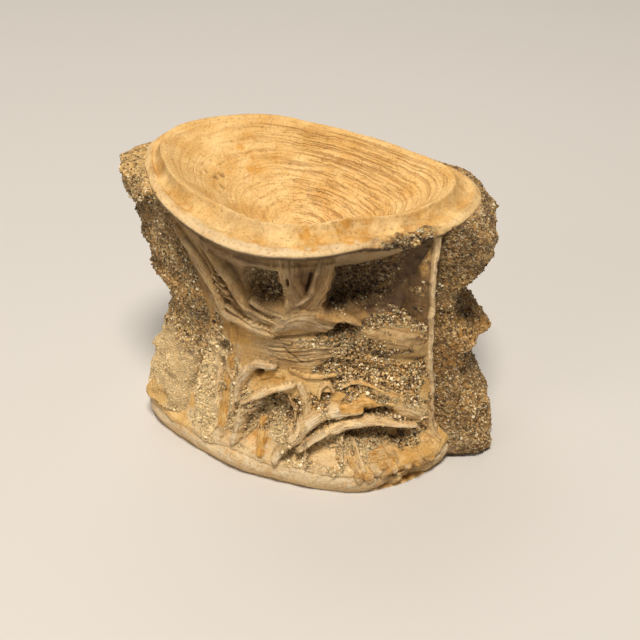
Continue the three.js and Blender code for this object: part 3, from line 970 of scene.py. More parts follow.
@dataclass
class Finish:
    """A material under construction: its node tree, the place that its patterns read, and what adds nodes."""

    name: str
    tree: bpy.types.NodeTree = field(init=False)
    material: bpy.types.Material = field(init=False)
    place: bpy.types.NodeSocket = field(init=False)

    def __post_init__(self) -> None:
        """Makes the empty material."""
        self.material = bpy.data.materials.new(self.name)
        self.material.use_nodes = True
        self.tree = self.material.node_tree
        self.tree.nodes.clear()
        self.place = self.add("TexCoord", out="Object")

    def add(
        self, kind: str, inputs: dict | None = None, out: int | str = 0, stops: tuple = (), **settings: object
    ) -> bpy.types.NodeSocket | None:
        """Adds a node with its settings and links; a texture reads Object coordinates if it's given none.

        Args:
            kind: the node's type name without "ShaderNode".
            inputs: value or output socket for each input, by name or number.
            out: name or number of the output that is wanted.
            stops: positions and hex codes, for a colour ramp.
            settings: properties of the node.

        Returns:
            The output that is wanted, if the node has any.
        """
        made = self.tree.nodes.new("ShaderNode" + kind)
        for key, value in settings.items():
            setattr(made, key, value)
        inputs = inputs or {}
        if kind.startswith("Tex") and "Vector" in made.inputs:
            inputs = {"Vector": self.place, **inputs}
        for key, value in inputs.items():
            if isinstance(value, bpy.types.NodeSocket):
                self.tree.links.new(value, made.inputs[key])
            else:
                made.inputs[key].default_value = value
        for number, (position, code) in enumerate(stops):
            band = made.color_ramp.elements
            stop = band[number] if number < len(band) else band.new(position)
            stop.position = position
            stop.color = linear(code)
        return made.outputs[out] if len(made.outputs) else None

    def spots(
        self, size: float, detail: float, low: float, high: float, least: float = 0.0, most: float = 1.0
    ) -> bpy.types.NodeSocket:
        """Ragged spots: noise, stretched so that low becomes the least value and high the most.

        Args:
            size: size of the lumps in mm.
            detail: how many finer scales the noise has.
            low: noise value that becomes the least.
            high: noise value that becomes the most.
            least: the least value.
            most: the greatest value.

        Returns:
            The value's socket.
        """
        lumps = self.add("TexNoise", {"Scale": per_mm(size), "Detail": detail, "Roughness": NOISE_ROUGHNESS})
        return self.add("MapRange", {0: lumps, 1: low, 2: high, 3: least, 4: most})

    def lay(self, color: bpy.types.NodeSocket, layer: Layer) -> bpy.types.NodeSocket:
        """Lays one cover over a colour; the dark and brown covers are partly painted shade.

        Args:
            color: the colour below.
            layer: the cover.

        Returns:
            The colour with the cover on it.
        """
        share = self.add("Attribute", out="Fac", attribute_name=layer.tone.value)
        spots = self.spots(*layer.spots) if layer.spots else layer.strength
        factor = self.add("Math", {0: share, 1: spots}, operation="MULTIPLY")
        return self.add("Mix", {0: factor, 6: color, 7: linear(layer.code)}, 2, data_type="RGBA")

    def packed_sand(self, size: float) -> tuple[bpy.types.NodeSocket, bpy.types.NodeSocket]:
        """Grains of sand side by side, each of one colour.

        Args:
            size: a grain's width in mm.

        Returns:
            Their colour and their height.
        """
        cells = {"Scale": per_mm(size), "Randomness": 1.0}
        hue = self.add("TexVoronoi", cells, out="Color")
        red = self.add("SeparateColor", {0: hue})
        color = self.add("ValToRGB", {"Fac": red}, stops=SAND_COLORS)
        color.node.color_ramp.interpolation = "CONSTANT"
        return color, hue.node.outputs["Distance"]

    def sandy_share(self) -> bpy.types.NodeSocket:
        """Where the sand lies: the attribute's share, with an edge made ragged by noise.

        Returns:
            A share from 0 to 1.
        """
        share = self.add("Attribute", out="Fac", attribute_name=Tone.SAND.value)
        noise = self.add("TexNoise", {"Scale": per_mm(0.5), "Detail": 3.0, "Roughness": NOISE_ROUGHNESS})
        noise = self.add("Math", {0: noise, 1: 0.7}, operation="MULTIPLY")
        ragged = self.add("Math", {0: share, 1: noise}, operation="ADD")
        return self.add("MapRange", {0: ragged, 1: 0.62, 2: 0.88})

    def close(
        self, color: object, roughness: object, height: object, depth: float, ior: float = 1.5
    ) -> bpy.types.Material:
        """Ends the tree with its surface.

        Args:
            color: colour or its socket.
            roughness: roughness or its socket.
            height: the bump's height from 0 to 1.
            depth: how high the bump is in mm.
            ior: index of refraction.

        Returns:
            The material.
        """
        bump = self.add("Bump", {"Height": height, "Distance": depth * MM, "Strength": 1.0})
        settings = {"Base Color": color, "Roughness": roughness, "Normal": bump, "IOR": ior, "Metallic": 0.0}
        self.add("OutputMaterial", {"Surface": self.add("BsdfPrincipled", settings)})
        return self.material


SAND_COLORS = (
    (0.0, "3a2a18"),
    (0.12, "6a5030"),
    (0.27, "9c7a48"),
    (0.44, "c59d60"),
    (0.60, "91805f"),
    (0.71, "e0c690"),
    (0.85, "bd8a40"),
    (0.93, "f6e8c4"),
)


@dataclass(frozen=True)
class FossilBone:
    """Phosphatised bone: weathered matt, worn smooth on the rims, stained ochre by iron in the sand.

    Sizes are in mm. The grain is a little wider than the real sand's 0.2 mm, so that it shows.
    """

    cream: str = "e8c484"
    deep: str = "d2a55e"
    white: str = "dccaa8"
    ochre: str = "cf9740"
    line: str = "ac7434"
    # Brown for real stains, and for painted shade under the lip, in pits and in recesses.
    brown: str = "523518"
    shadow: str = "2c1e14"
    pale_sand: str = "f2d9a4"
    freckle: str = "98876f"
    grain: float = 0.27

    def build(self, name: str) -> bpy.types.Material:
        """Makes the material.

        Args:
            name: its name.

        Returns:
            The material.
        """
        finish = Finish(name)
        add = finish.add
        clouds = finish.spots(3.5, 4, 0.35, 0.65)
        color = add("Mix", {0: clouds, 6: linear(self.cream), 7: linear(self.deep)}, 2, data_type="RGBA")
        color = finish.lay(color, Layer(Tone.WHITE, self.white, spots=(0.8, 4, 0.3, 0.6, 0.55)))
        color = finish.lay(color, Layer(Tone.OCHRE, self.ochre, spots=(1.2, 5, 0.35, 0.6)))
        # Growth rings and fibres: fine brown lines along the streaks that each piece stores.
        along = add("Attribute", out="Vector", attribute_name="streaks")
        streak = add("TexNoise", {"Vector": along, "Scale": 1.0, "Detail": 3.0, "Roughness": 0.6})
        streak = add("MapRange", {0: streak, 1: 0.50, 2: 0.34})
        fibre = add("Attribute", out="Fac", attribute_name="fibre")
        line = add("Math", {0: streak, 1: fibre}, operation="MULTIPLY")
        clear = add("Math", {0: line, 1: 0.72}, operation="MULTIPLY")
        color = add("Mix", {0: clear, 6: color, 7: linear(self.line)}, 2, data_type="RGBA")
        # Freckles of sand grains that stick in the pores.
        pores = add("TexNoise", {"Scale": per_mm(0.35), "Detail": 4, "Roughness": 0.7})
        stops = ((0.3, self.freckle), (0.48, "ffffff"), (0.75, "ffffff"))
        freckles = add("ValToRGB", {"Fac": pores}, stops=stops)
        color = add("Mix", {0: 0.65, 6: color, 7: freckles}, 2, data_type="RGBA", blend_type="MULTIPLY")
        # Brown: real stain, and painted shade under the lip, in pits and in recesses.
        color = finish.lay(color, Layer(Tone.BROWN, self.brown, spots=(1.8, 4, 0.3, 0.6, 0.75)))
        # Sand that still sticks to the bone, with painted shade between its lumps.
        sand, bumps = finish.packed_sand(self.grain)
        sand = finish.lay(sand, Layer(Tone.WHITE, self.pale_sand, 0.7))
        sandy = finish.sandy_share()
        color = add("Mix", {0: sandy, 6: color, 7: sand}, 2, data_type="RGBA")
        gaps = add("Math", {0: finish.spots(0.55, 3, 0.47, 0.36), 1: sandy}, operation="MULTIPLY")
        gaps = add("Math", {0: gaps, 1: 0.6}, operation="MULTIPLY")
        color = add("Mix", {0: gaps, 6: color, 7: linear(self.shadow)}, 2, data_type="RGBA")
        color = finish.lay(color, Layer(Tone.DARK, self.shadow, 0.85))
        # Bump: pores and slow unevenness, sand grains where they lie, the lines cut in.
        fine = add("TexNoise", {"Scale": per_mm(0.22), "Detail": 4, "Roughness": 0.7})
        slow = add("TexNoise", {"Scale": per_mm(0.8), "Detail": 3, "Roughness": NOISE_ROUGHNESS})
        height = add("Math", {0: fine, 1: 0.5, 2: slow}, operation="MULTIPLY_ADD")
        grains = add("Math", {0: sandy, 1: 1.4}, operation="MULTIPLY")
        height = add("Math", {0: bumps, 1: grains, 2: height}, operation="MULTIPLY_ADD")
        height = add("Math", {0: line, 1: -0.7, 2: height}, operation="MULTIPLY_ADD")
        return finish.close(color, finish.spots(1.5, 3, 0.3, 0.7, 0.62, 0.85), height, 0.17, 1.52)


@dataclass(frozen=True)
class SandyRock:
    """Loosely cemented phosphate sand: quartz, dark phosphate pellets and clay, broken not cut."""

    bone: FossilBone
    clay: str
    ochre: str = "c8934a"
    pale: str = "e0c492"
    gap_shade: str = "33220f"
    shadow: str = "2a1d12"
    grain: float = 0.24

    def build(self, name: str) -> bpy.types.Material:
        """Makes the material.

        Args:
            name: its name.

        Returns:
            The material.
        """
        finish = Finish(name)
        add = finish.add
        sand, bumps = finish.packed_sand(self.grain)
        lumps = finish.spots(1.6, 4, 0.35, 0.7, 0.0, 0.5)
        rock = add("Mix", {0: lumps, 6: sand, 7: linear(self.clay)}, 2, data_type="RGBA")
        rock = finish.lay(rock, Layer(Tone.OCHRE, self.ochre, spots=(0.9, 4, 0.35, 0.6)))
        rock = finish.lay(rock, Layer(Tone.WHITE, self.pale, spots=(0.6, 5, 0.3, 0.6, 0.6)))
        # Where the sand is gone, a crust of the same colour as the bone shows.
        clouds = add("TexNoise", {"Scale": per_mm(2.0), "Detail": 4, "Roughness": NOISE_ROUGHNESS})
        shell = {0: clouds, 6: linear(self.bone.cream), 7: linear(self.bone.deep)}
        shell = add("Mix", shell, 2, data_type="RGBA")
        color = add("Mix", {0: finish.sandy_share(), 6: shell, 7: rock}, 2, data_type="RGBA")
        # Painted shade in the gaps between lumps of grains; the gaps are closed where the rock is pale and
        # worn flat.
        white = add("Attribute", out="Fac", attribute_name=Tone.WHITE.value)
        open_rock = add("Math", {0: 1.0, 1: white}, operation="SUBTRACT")
        noise = add("TexNoise", {"Scale": per_mm(0.7), "Detail": 4, "Roughness": 0.65})
        noise = add("MapRange", {0: noise, 1: 0.47, 2: 0.37})
        gaps = add("Math", {0: noise, 1: open_rock}, operation="MULTIPLY")
        dark = add("Math", {0: gaps, 1: 0.55}, operation="MULTIPLY")
        color = add("Mix", {0: dark, 6: color, 7: linear(self.gap_shade)}, 2, data_type="RGBA")
        color = finish.lay(color, Layer(Tone.DARK, self.shadow, 0.8))
        fine = add("TexNoise", {"Scale": per_mm(0.2), "Detail": 4, "Roughness": 0.7})
        height = add("Math", {0: fine, 1: 0.7, 2: bumps}, operation="MULTIPLY_ADD")
        height = add("Math", {0: height, 1: gaps}, operation="SUBTRACT")
        return finish.close(color, 0.85, height, 0.18)


@dataclass(frozen=True)
class PhosphateSand:
    """Single grains, rounded by water: clear and milky quartz, brown phosphate pellets and dark ones."""

    pale: str = "f0d8a6"
    shadow: str = "2a1b10"

    def build(self, name: str) -> bpy.types.Material:
        """Makes the material.

        Args:
            name: its name.

        Returns:
            The material.
        """
        finish = Finish(name)
        tone = finish.add("Attribute", out="Fac", attribute_name="tone")
        color = finish.add("ValToRGB", {"Fac": tone}, stops=SAND_COLORS)
        color = finish.lay(color, Layer(Tone.WHITE, self.pale, 0.6))
        color = finish.lay(color, Layer(Tone.DARK, self.shadow, 0.8))
        height = finish.add("TexNoise", {"Scale": per_mm(0.06), "Detail": 2, "Roughness": NOISE_ROUGHNESS})
        return finish.close(color, 0.55, height, 0.01, 1.54)


@dataclass(frozen=True)
class StudioPaper:
    """Pale matt paper sweep, pressed from pulp, so that it shines nowhere."""

    color: str = "cbc8c3"

    def build(self, name: str) -> bpy.types.Material:
        """Makes the material.

        Args:
            name: its name.

        Returns:
            The material.
        """
        finish = Finish(name)
        height = finish.add("TexNoise", {"Scale": per_mm(0.8), "Detail": 3, "Roughness": NOISE_ROUGHNESS})
        return finish.close(linear(self.color), 0.9, height, 0.01)


@dataclass
class UpperFace:
    """Upper rim and hollow with its growth rings.

    Its profile runs through stations: 0 is the middle of the hollow, 8 its edge, 9 to 11 the band on the
    rim, 12 to 14 the lip, and 17 the hidden middle below. A place on the profile is called t.
    """

    form: BoneForm
    columns: int = 420
    rows: int = 210
    weights: tuple[int, ...] = (9, 14, 15, 16, 16, 15, 14, 9, 8, 9, 9, 9, 11, 9, 10, 4, 3)
    band: float = 4.4
    narrowing: float = 2.5
    far_bearing: float = 80.0
    far_reach: float = 110.0
    left_bearing: float = 178.0
    left_reach: float = 48.0
    left_widening: float = 1.5
    near_bearing: float = 255.0
    chip_bearing: float = 316.0
    chip_reach: float = 21.0
    depth: float = 10.5
    round: float = 13.5
    curve: float = 1.35
    ring_height: float = 0.08
    highest: float = 39.45
    inner_shares: tuple[float, ...] = (0.14, 0.3, 0.46, 0.62, 0.76, 0.88)
    holes: tuple[tuple[float, float, float], ...] = (
        (160, 14.2, 0.5),
        (160, 13.0, 0.55),
        (165, 11.6, 0.5),
        (155, 12.6, 0.4),
    )

    def edge(self, b: Array) -> Array:
        """Radius of the hollow's edge; the band outside it is narrower on the far side and on the left.

        Args:
            b: bearings.

        Returns:
            The radius in mm at each bearing.
        """
        far = self.narrowing * beside(b, self.far_bearing, self.far_reach)
        left = self.left_widening * beside(b, self.left_bearing, self.left_reach)
        return self.form.upper.radius(b) - self.band + far + left

    def stations(self, b: Array) -> list[tuple[Array, Array]]:
        """Profile from the middle of the hollow over the rim to the hidden underside.

        Args:
            b: the bearing of each point.

        Returns:
            For each station, the radius and height of the profile at each bearing.
        """
        up = self.form.upper.radius(b)
        lip = self.form.lip(b)
        crest = lip + self.form.lip_to_crest
        edge = self.edge(b)
        bottom = self.form.lip_height + self.form.lip_to_crest - self.depth + 0.25
        shares = self.inner_shares
        return [
            (0.0, bottom),
            *[(mix(self.round, edge, k) * k, crest - self.depth * (1 - k**self.curve)) for k in shares],
            (edge - 0.45, crest - 0.25),
            (edge + 0.35, crest),
            (mix(up, edge, 0.72), crest - 0.35),
            (mix(up, edge, 0.45), lip + 0.75),
            (up - 0.8, lip + 0.5),
            (up - 0.05, lip - 0.1),
            (up - 0.35, lip - 0.75),
            (up - 1.7, lip - 1.45),
            (0.72 * up, 31.0),
            (0.4 * up, 27.5),
            (0.0, 26.8),
        ]

    def build(self, material: bpy.types.Material) -> bpy.types.Object:
        """Makes the piece.

        Args:
            material: the bone's material.

        Returns:
            The piece.
        """
        piece, column, row = ball("centrum_upper_face", self.columns, self.rows)
        b = column * (360.0 / self.columns)
        t = station_of(row, self.weights, self.rows)
        r, z = through(self.stations(b), t)
        points = self.form.place(b, r, z)
        warp = fractal(points, 2.0, 3, 3)
        crumble = fractal(points, 0.9, 3, 9)
        blocky = fractal(points, 1.6, 2, 14)
        # Parts of the profile: the hollow, the band, the lip, and all that isn't hidden below.
        inner = smooth((7.6 - t) / 0.5)
        band = smooth((t - 7.8) / 0.5) * smooth((11.6 - t) / 0.6)
        lip = smooth((t - 10.4) / 0.7)
        shown = smooth((14.4 - t) / 0.6)
        step = hump(t - 8.3, 1.1)
        near = 0.25 + 0.75 * beside(b, self.near_bearing, 110.0)
        # Growth rings run at even depths below the edge, clearest on the far slope.
        share = np.interp(t, range(9), (0.0, *self.inner_shares, 0.97, 1.02))
        depth_in = 16.0 * np.abs(1.0 - share) + 0.10 * warp
        ring = lattice_noise(ringed(b, 1.6, depth_in / 0.26), 5)
        ring += 0.5 * lattice_noise(ringed(b, 3.0, depth_in / 0.7), 6)
        clear = (0.4 + 0.6 * beside(b, 55.0, 95.0)) * (inner * smooth(depth_in / 0.8))
        z = z + self.ring_height * ring * clear
        r = r - 0.4 * self.ring_height * ring * clear
        pitted = smooth((fractal(points, 0.55, 2, 8) - 0.42) / 0.3) * inner * smooth((depth_in - 1.5) / 2.0)
        cluster = np.zeros_like(b)
        for at, radius, size in self.holes:
            away = np.hypot(np.radians(turn_between(b, at)) * r, r - radius)
            cluster = np.maximum(cluster, hump(away + 0.2 * warp, size) * inner)
        z = z - 0.16 * pitted - 0.45 * cluster
        # The rim: a crumbled step round the hollow, a sunken band, a small crest.
        z = z + 0.13 * near * step * crumble + 0.05 * shown * fractal(points, 3.0, 3, 10)
        rugged = fractal(points, 1.3, 3, 15)
        z = z - 0.50 * hump(t - 9.5, 1.5) * (1 + 0.5 * warp) + band * near * (0.12 * crumble + 0.16 * rugged)
        z = z + 0.24 * near * hump(t - 8.05, 0.6) * (1 + 0.25 * crumble)
        chip = beside(b, self.chip_bearing, self.chip_reach) * smooth((t - 10.2) / 0.8) * shown
        z = z + chip * (0.45 * blocky + 0.4 * crumble - 0.7 * smooth((t - 11.4) / 0.8))
        r = r - chip * (0.25 + 0.6 * np.abs(blocky) + 0.3 * np.abs(crumble))
        r = r + 0.06 * lip * shown * fractal(points, 2.4, 3, 12)
        write_points(piece, self.form.place(b, r, np.minimum(z, self.highest)))
        front = beside(b, self.near_bearing, 100.0)
        patchy = smooth(fractal(points, 3.2, 3, 13) * 1.4 + 0.25)
        upper_left = beside(b, 128.0, 34.0) * hump(r - 12.0, 4.5) * inner
        ochre = band * patchy * (0.5 + 0.7 * front) + upper_left * patchy + 0.3 * inner * patchy
        # Painted shade: brown under the lip, in_shade on the underside further in, and dark in the cluster of
        # holes and in the chip's cracks; the brown on the band and the chip varies at random.
        under_lip = 0.9 * smooth((t - 11.9) / 0.5) * shown
        in_shade = 0.5 * smooth((t - 12.2) / 0.6)
        shares = {
            Tone.OCHRE: ochre + 0.5 * chip,
            Tone.WHITE: lip * (0.2 + 0.45 * front) * (1.0 - chip) + 0.1 * step * front,
            Tone.BROWN: 0.13 * band * (1 + warp) + 0.5 * chip * smooth(crumble + 0.3) + under_lip,
            Tone.DARK: 0.75 * cluster + 0.3 * chip * smooth(crumble * 2) + in_shade,
            Tone.SAND: 0.85 * chip * smooth(0.6 + warp),
        }
        dress(piece, shares, ringed(b, 1.8, depth_in / STREAK), clear + 0.35 * (1 - inner) + 0.3 * pitted)
        tidy_normals(piece)
        settle(piece, "centrum", material)
        return piece


@dataclass
class Wall:
    """The waisted wall with its pits, struts and fan of ridges, closed inside the bone by two caps."""

    form: BoneForm
    plan: WallPlan
    columns: int = 480
    front_columns: int = 350
    front: tuple[float, float] = (176.0, 344.0)
    rows: int = 205
    cap: int = 12
    foot: float = 2.9
    under_lip: float = 1.7
    cap_levels: tuple[float, float] = (12.0, 24.5)

    def bearings(self, column: Array) -> Array:
        """Bearings of columns, which stand closer together on the front.

        Args:
            column: the columns' numbers.

        Returns:
            Bearings from 0 to 360.
        """
        start, end = self.front
        marks = [0, self.front_columns, self.columns]
        return np.mod(np.interp(column, marks, [start, end, start + 360.0]), 360.0)

    def build(self, material: bpy.types.Material) -> bpy.types.Object:
        """Makes the piece.

        Args:
            material: the bone's material.

        Returns:
            The piece.
        """
        piece, column, row = ball("centrum_wall", self.columns, self.rows)
        b = self.bearings(column)
        top = self.form.lip(b) - self.under_lip
        z = mix(top, self.foot, np.clip((row - self.cap) / (self.rows - 2 * self.cap), 0.0, 1.0))
        neck = top - 0.7
        envelope = self.form.envelope(b, np.clip(z, self.form.wall_foot, neck)) - 0.25 * (z > neck)
        points = self.form.place(b, envelope, z)
        wall = self.plan.lay_out(b, z, envelope, points)
        fade = smooth((z - self.foot) / 1.1) * smooth(top - z)
        ledge = 0.5 + 0.35 * lattice_noise(points / 2.4, 47) + 0.1 * lattice_noise(points / 0.7, 48)
        r = envelope + wall.offset * fade + ledge * smooth((5.2 - z) / 2.0)
        cap_top = np.clip(1.0 - row / self.cap, 0.0, 1.0)
        cap_low = np.clip(1.0 - (self.rows - row) / self.cap, 0.0, 1.0)
        r = r * (1.0 - cap_top) * (1.0 - cap_low)
        low, high = self.cap_levels
        z = z - (top - high) * smooth(cap_top) + (low - self.foot) * smooth(cap_low)
        write_points(piece, self.form.place(b, r, z))
        dress(piece, wall.masks, wall.streaks, wall.fibre)
        tidy_normals(piece)
        settle(piece, "centrum", material)
        return piece


@dataclass
class LowerFace:
    """Lower rim, on which the bone stands, and the hollow below it.

    Its profile runs through stations: 0 is the hidden middle above, 2 to 8 the rim, 9 the hollow's edge and
    14 its middle. A place on the profile is called t.
    """

    form: BoneForm
    columns: int = 400
    rows: int = 110
    weights: tuple[int, ...] = (3, 3, 9, 12, 14, 14, 10, 6, 5, 6, 8, 8, 7, 5)
    band: float = 4.2
    depth: float = 9.5
    round: float = 14.5
    curve: float = 1.35
    broken_bearing: float = 312.0
    broken_reach: float = 17.0
    plank_turn: float = 3.3
    seed: int = 67

    def stations(self, b: Array) -> list[tuple[Array, Array]]:
        """Profile from the hidden middle above over the rim to the middle of the hollow.

        Args:
            b: the bearing of each point.

        Returns:
            For each station, the radius and height of the profile at each bearing.
        """
        low = self.form.lower.radius(b)
        edge = low - self.band
        shares = (0.86, 0.68, 0.45, 0.22)
        return [
            (0.0, 12.6),
            (0.45 * low, 11.0),
            (low - 2.8, 4.9),
            (low - 1.5, 3.75),
            (low - 0.45, 2.9),
            (low - 0.05, 1.7),
            (low - 0.5, 0.5),
            (low - 1.3, 0.0),
            (low - 2.9, 0.0),
            (edge, 0.5),
            *[(mix(self.round, edge, k) * k, self.depth * (1 - k**self.curve)) for k in shares],
            (0.0, self.depth - 0.2),
        ]

    def build(self, material: bpy.types.Material) -> bpy.types.Object:
        """Makes the piece.

        Args:
            material: the bone's material.

        Returns:
            The piece.
        """
        piece, column, row = ball("centrum_lower_face", self.columns, self.rows)
        b = column * (360.0 / self.columns)
        t = station_of(row, self.weights, self.rows)
        r, z = through(self.stations(b), t)
        points = self.form.place(b, r, z)
        shown = smooth((t - 1.6) / 0.6) * smooth((7.0 - t) / 0.7)
        hollow = smooth((t - 9.2) / 0.8)
        warp = fractal(points, 2.6, 3, 61)
        crumble = fractal(points, 0.8, 3, 63)
        swell = fractal(points, 5.0, 2, 68)
        broken = beside(b, self.broken_bearing, self.broken_reach)
        r = r + shown * (0.14 * warp - 0.30 + 0.22 * swell + 0.07 * crumble)
        # The broken part splits into planks, each sunk and lowered by its own amount.
        planks = int(360.0 / self.plank_turn)
        plank = np.floor(b / self.plank_turn + 0.25 * warp).astype(int) % planks
        rng = np.random.default_rng(self.seed)
        sunk = rng.uniform(0.0, 1.0, planks)[plank]
        lowered = rng.uniform(0.0, 1.0, planks)[plank]
        r = r - shown * broken * (0.25 + 1.3 * sunk + 0.3 * np.abs(crumble))
        top_side = smooth((5.0 - t) / 1.2)
        z = np.maximum(0.0, z + shown * (0.07 * warp - broken * (0.1 + 0.9 * lowered) * top_side))
        z = z + 0.1 * hollow * lattice_noise(ringed(b, 2.0, r / 0.4), 65)
        write_points(piece, self.form.place(b, r, z))
        pale = shown * (0.4 + 0.4 * smooth(warp + 0.3) + 0.45 * hump(t - 4.3, 1.5))
        # Painted shade: brown in a small hole and on the sunken planks of the broken part, dark in the cracks
        # between them.
        hole = beside(b, 303.0, 3.0) * hump(t - 3.6, 1.0)
        shares = {
            Tone.WHITE: pale * (1 - 0.6 * broken),
            Tone.OCHRE: broken * smooth(crumble + 0.5) * shown + 0.5 * smooth(warp * 2),
            Tone.BROWN: 0.8 * hole + 0.5 * broken * sunk * shown,
            Tone.DARK: 0.4 * broken * smooth(crumble * 3 - 1.0) * shown,
            Tone.SAND: 0.5 * hollow * smooth(warp),
        }
        dress(piece, shares, ringed(b, 4.0, (r - z) / STREAK), 0.3 + 0.6 * hollow)
        tidy_normals(piece)
        settle(piece, "centrum", material)
        return piece


@dataclass
class Splinters:
    """Thin broken planks of bone that stick out of the chipped part of the lower rim."""

    form: BoneForm
    name: str = "centrum_splinters"
    count: int = 10
    first: float = 293.0
    step: float = 3.2
    long: tuple[float, float] = (2.6, 4.6)
    wide: tuple[float, float] = (0.6, 1.25)
    thick: tuple[float, float] = (0.25, 0.45)
    lean: tuple[float, float] = (-58.0, -26.0)
    turn: tuple[float, float] = (-16.0, 16.0)
    roll: tuple[float, float] = (-30.0, 30.0)
    inset: tuple[float, float] = (1.1, 1.9)
    height: tuple[float, float] = (3.3, 4.7)
    cuts: int = 7
    seed: int = 31

    def build(self, material: bpy.types.Material) -> bpy.types.Object:
        """Makes the piece.

        Args:
            material: the bone's material.

        Returns:
            The piece.
        """
        rng = np.random.default_rng(self.seed)
        shards = [self.shard(self.first + self.step * k, rng) for k in range(self.count)]
        pick(shards[0])
        for shard in shards:
            shard.select_set(True)
        bpy.ops.object.join()
        piece = bpy.context.object
        piece.name = self.name
        p = read_points(piece) / MM
        warp = fractal(p, 0.7, 3, 33)
        shares = {
            Tone.OCHRE: 0.45 + 0.5 * warp,
            Tone.WHITE: 0.35 - 0.4 * warp,
            Tone.BROWN: 0.35 * smooth(fractal(p, 1.4, 2, 34) + 0.1),
            Tone.SAND: 0.0,
            Tone.DARK: 0.0,
        }
        dress(piece, shares, p / (3.0, 0.5, STREAK), 0.6)
        tidy_normals(piece)
        settle(piece, None, material)
        return piece

    def shard(self, bearing: float, rng: np.random.Generator) -> bpy.types.Object:
        """Makes one plank.

        Args:
            bearing: where it sticks out of the rim, in degrees.
            rng: picks its sizes and how it leans.

        Returns:
            The plank, whose vertices are already where they belong.
        """
        fresh()
        bpy.ops.mesh.primitive_cube_add(size=2.0)
        piece = bpy.context.object
        edit(piece)
        bpy.ops.mesh.select_all(action="SELECT")
        bpy.ops.mesh.subdivide(number_cuts=self.cuts)
        bpy.ops.object.mode_set(mode="OBJECT")
        p = read_points(piece)
        long, wide, thick = (rng.uniform(*span) for span in (self.long, self.wide, self.thick))
        taper = 1.0 - 0.45 * smooth(p[:, 0])
        out = p[:, 0] * long / 2 + 0.25 * lattice_noise(p * [0.5, 2.5, 0.5] + bearing, 35) * (p[:, 0] > 0.5)
        side = p[:, 1] * wide * taper
        up = p[:, 2] * thick * taper + 0.08 * lattice_noise(p * [1.2, 3.0, 0.4] + bearing, 36)
        lean, turn, roll = (math.radians(rng.uniform(*span)) for span in (self.lean, self.turn, self.roll))
        side, up = turned(side, up, roll)
        out, side = turned(out, side, turn)
        out, up = turned(out, up, lean)
        rim = self.form.lower.radius(np.array([bearing]))[0]
        middle = rim - rng.uniform(*self.inset)
        height = rng.uniform(*self.height)
        reach = rim - 0.3 + 0.1 * np.tanh(middle + out - rim)
        r = np.minimum(middle + out, reach)
        around = np.degrees(side / middle)
        write_points(piece, self.form.place(bearing + around, r, np.maximum(0.15, height + up)))
        return piece


def turned(x: Array, y: Array, angle: float) -> tuple[Array, Array]:
    """Two coordinates turned by an angle in radians."""
    return x * math.cos(angle) - y * math.sin(angle), x * math.sin(angle) + y * math.cos(angle)


@dataclass
class Lamella:
    """A thin plate of bone that stands out of the wall along one bearing, from rim to rim."""

    form: BoneForm
    name: str
    bearing: float
    levels: tuple[float, ...]
    radii: tuple[float, ...]
    thick: float
    root: tuple[float, float] = (9.0, 14.6)
    root_levels: tuple[float, float] = (24.0, 35.0)
    columns: int = 70
    rows: int = 230
    bottom: float = 3.3
    top: float = 34.9

    def build(self, material: bpy.types.Material) -> bpy.types.Object:
        """Makes the piece.

        Args:
            material: the bone's material.

        Returns:
            The piece.
        """
        piece, column, row = sheet(self.name, self.columns, self.rows)
        z = mix(self.bottom, self.top, row / self.rows)
        edge = np.interp(z, self.levels, self.radii)
        edge = edge + 0.16 * fractal(self.form.place(self.bearing, edge, z), 1.6, 3, 71)
        r = mix(np.interp(z, self.root_levels, self.root), edge, column / self.columns)
        write_points(piece, self.form.place(self.bearing, r, z))
        pick(piece)
        solid = piece.modifiers.new("solidify", "SOLIDIFY")
        solid.thickness = self.thick * MM
        solid.offset = 0.0
        bpy.ops.object.modifier_apply(modifier=solid.name)
        p = read_points(piece) / MM
        across = math.radians(self.bearing)
        side = np.array([-math.sin(across), math.cos(across), 0.0])
        from_axis = p - self.form.place(0.0, 0.0, p[:, 2])
        radial = from_axis @ np.array([math.cos(across), math.sin(across), 0.0])
        away = np.interp(p[:, 2], self.levels, self.radii) - radial
        wobble = 0.22 * fractal(p, 3.0, 3, 73) + 0.10 * fractal(p, 0.8, 2, 75)
        thin = mix(0.45, 1.0, smooth(away / 3.0))
        bulge = np.sign(from_axis @ side) * (thin - 1.0) * self.thick * 0.5
        p = p + side * (wobble + bulge)[:, None]
        write_points(piece, p)
        crust = hump(p[:, 2] - 30.8, 3.2) * hump(away - 1.9, 2.0) * smooth(fractal(p, 0.9, 3, 77) + 0.6)
        low = smooth((19.0 - p[:, 2]) / 2.0)
        # Painted shade: the plate's faces grow brown, then dark, away from its edge towards the wall, above
        # its low part.
        deep = smooth((away - 0.35) / 0.5) * (1 - crust) * (1 - low)
        shares = {
            Tone.WHITE: 0.75 * smooth(1.2 - away),
            Tone.OCHRE: crust + 0.5 * smooth(fractal(p, 2.0, 3, 79)),
            Tone.BROWN: 0.9 * deep,
            Tone.DARK: 0.35 * deep * smooth((away - 1.4) / 1.5),
            Tone.SAND: 0.5 * smooth((away - 0.8) / 0.8) * smooth(fractal(p, 1.3, 3, 81) + 0.4),
        }
        dress(piece, shares, xyz(p[:, 2] / 6.0, 9.0, away / STREAK), 0.5)
        tidy_normals(piece)
        settle(piece, None, material)
        return piece


def rock_lumps(b: Array, z: Array) -> Array:
    """Large lumps of the rock in mm, the same in the CAD part."""
    slow = 0.3 * np.sin(0.31 * b + 0.9 * z) * np.sin(0.17 * b - 0.7 * z + 1.0)
    return slow + 0.25 * np.sin(0.53 * b - 1.3 * z + 2.0) * np.sin(0.11 * b + 0.5 * z)


def kept_inside(points: Array, hair: float) -> Array:
    """Points in mm kept inside the CAD part's box, less a hair."""
    low, high = (np.array(c) / MM for c in CAD_BOUNDS)
    return np.clip(points, low + hair, high - hair)


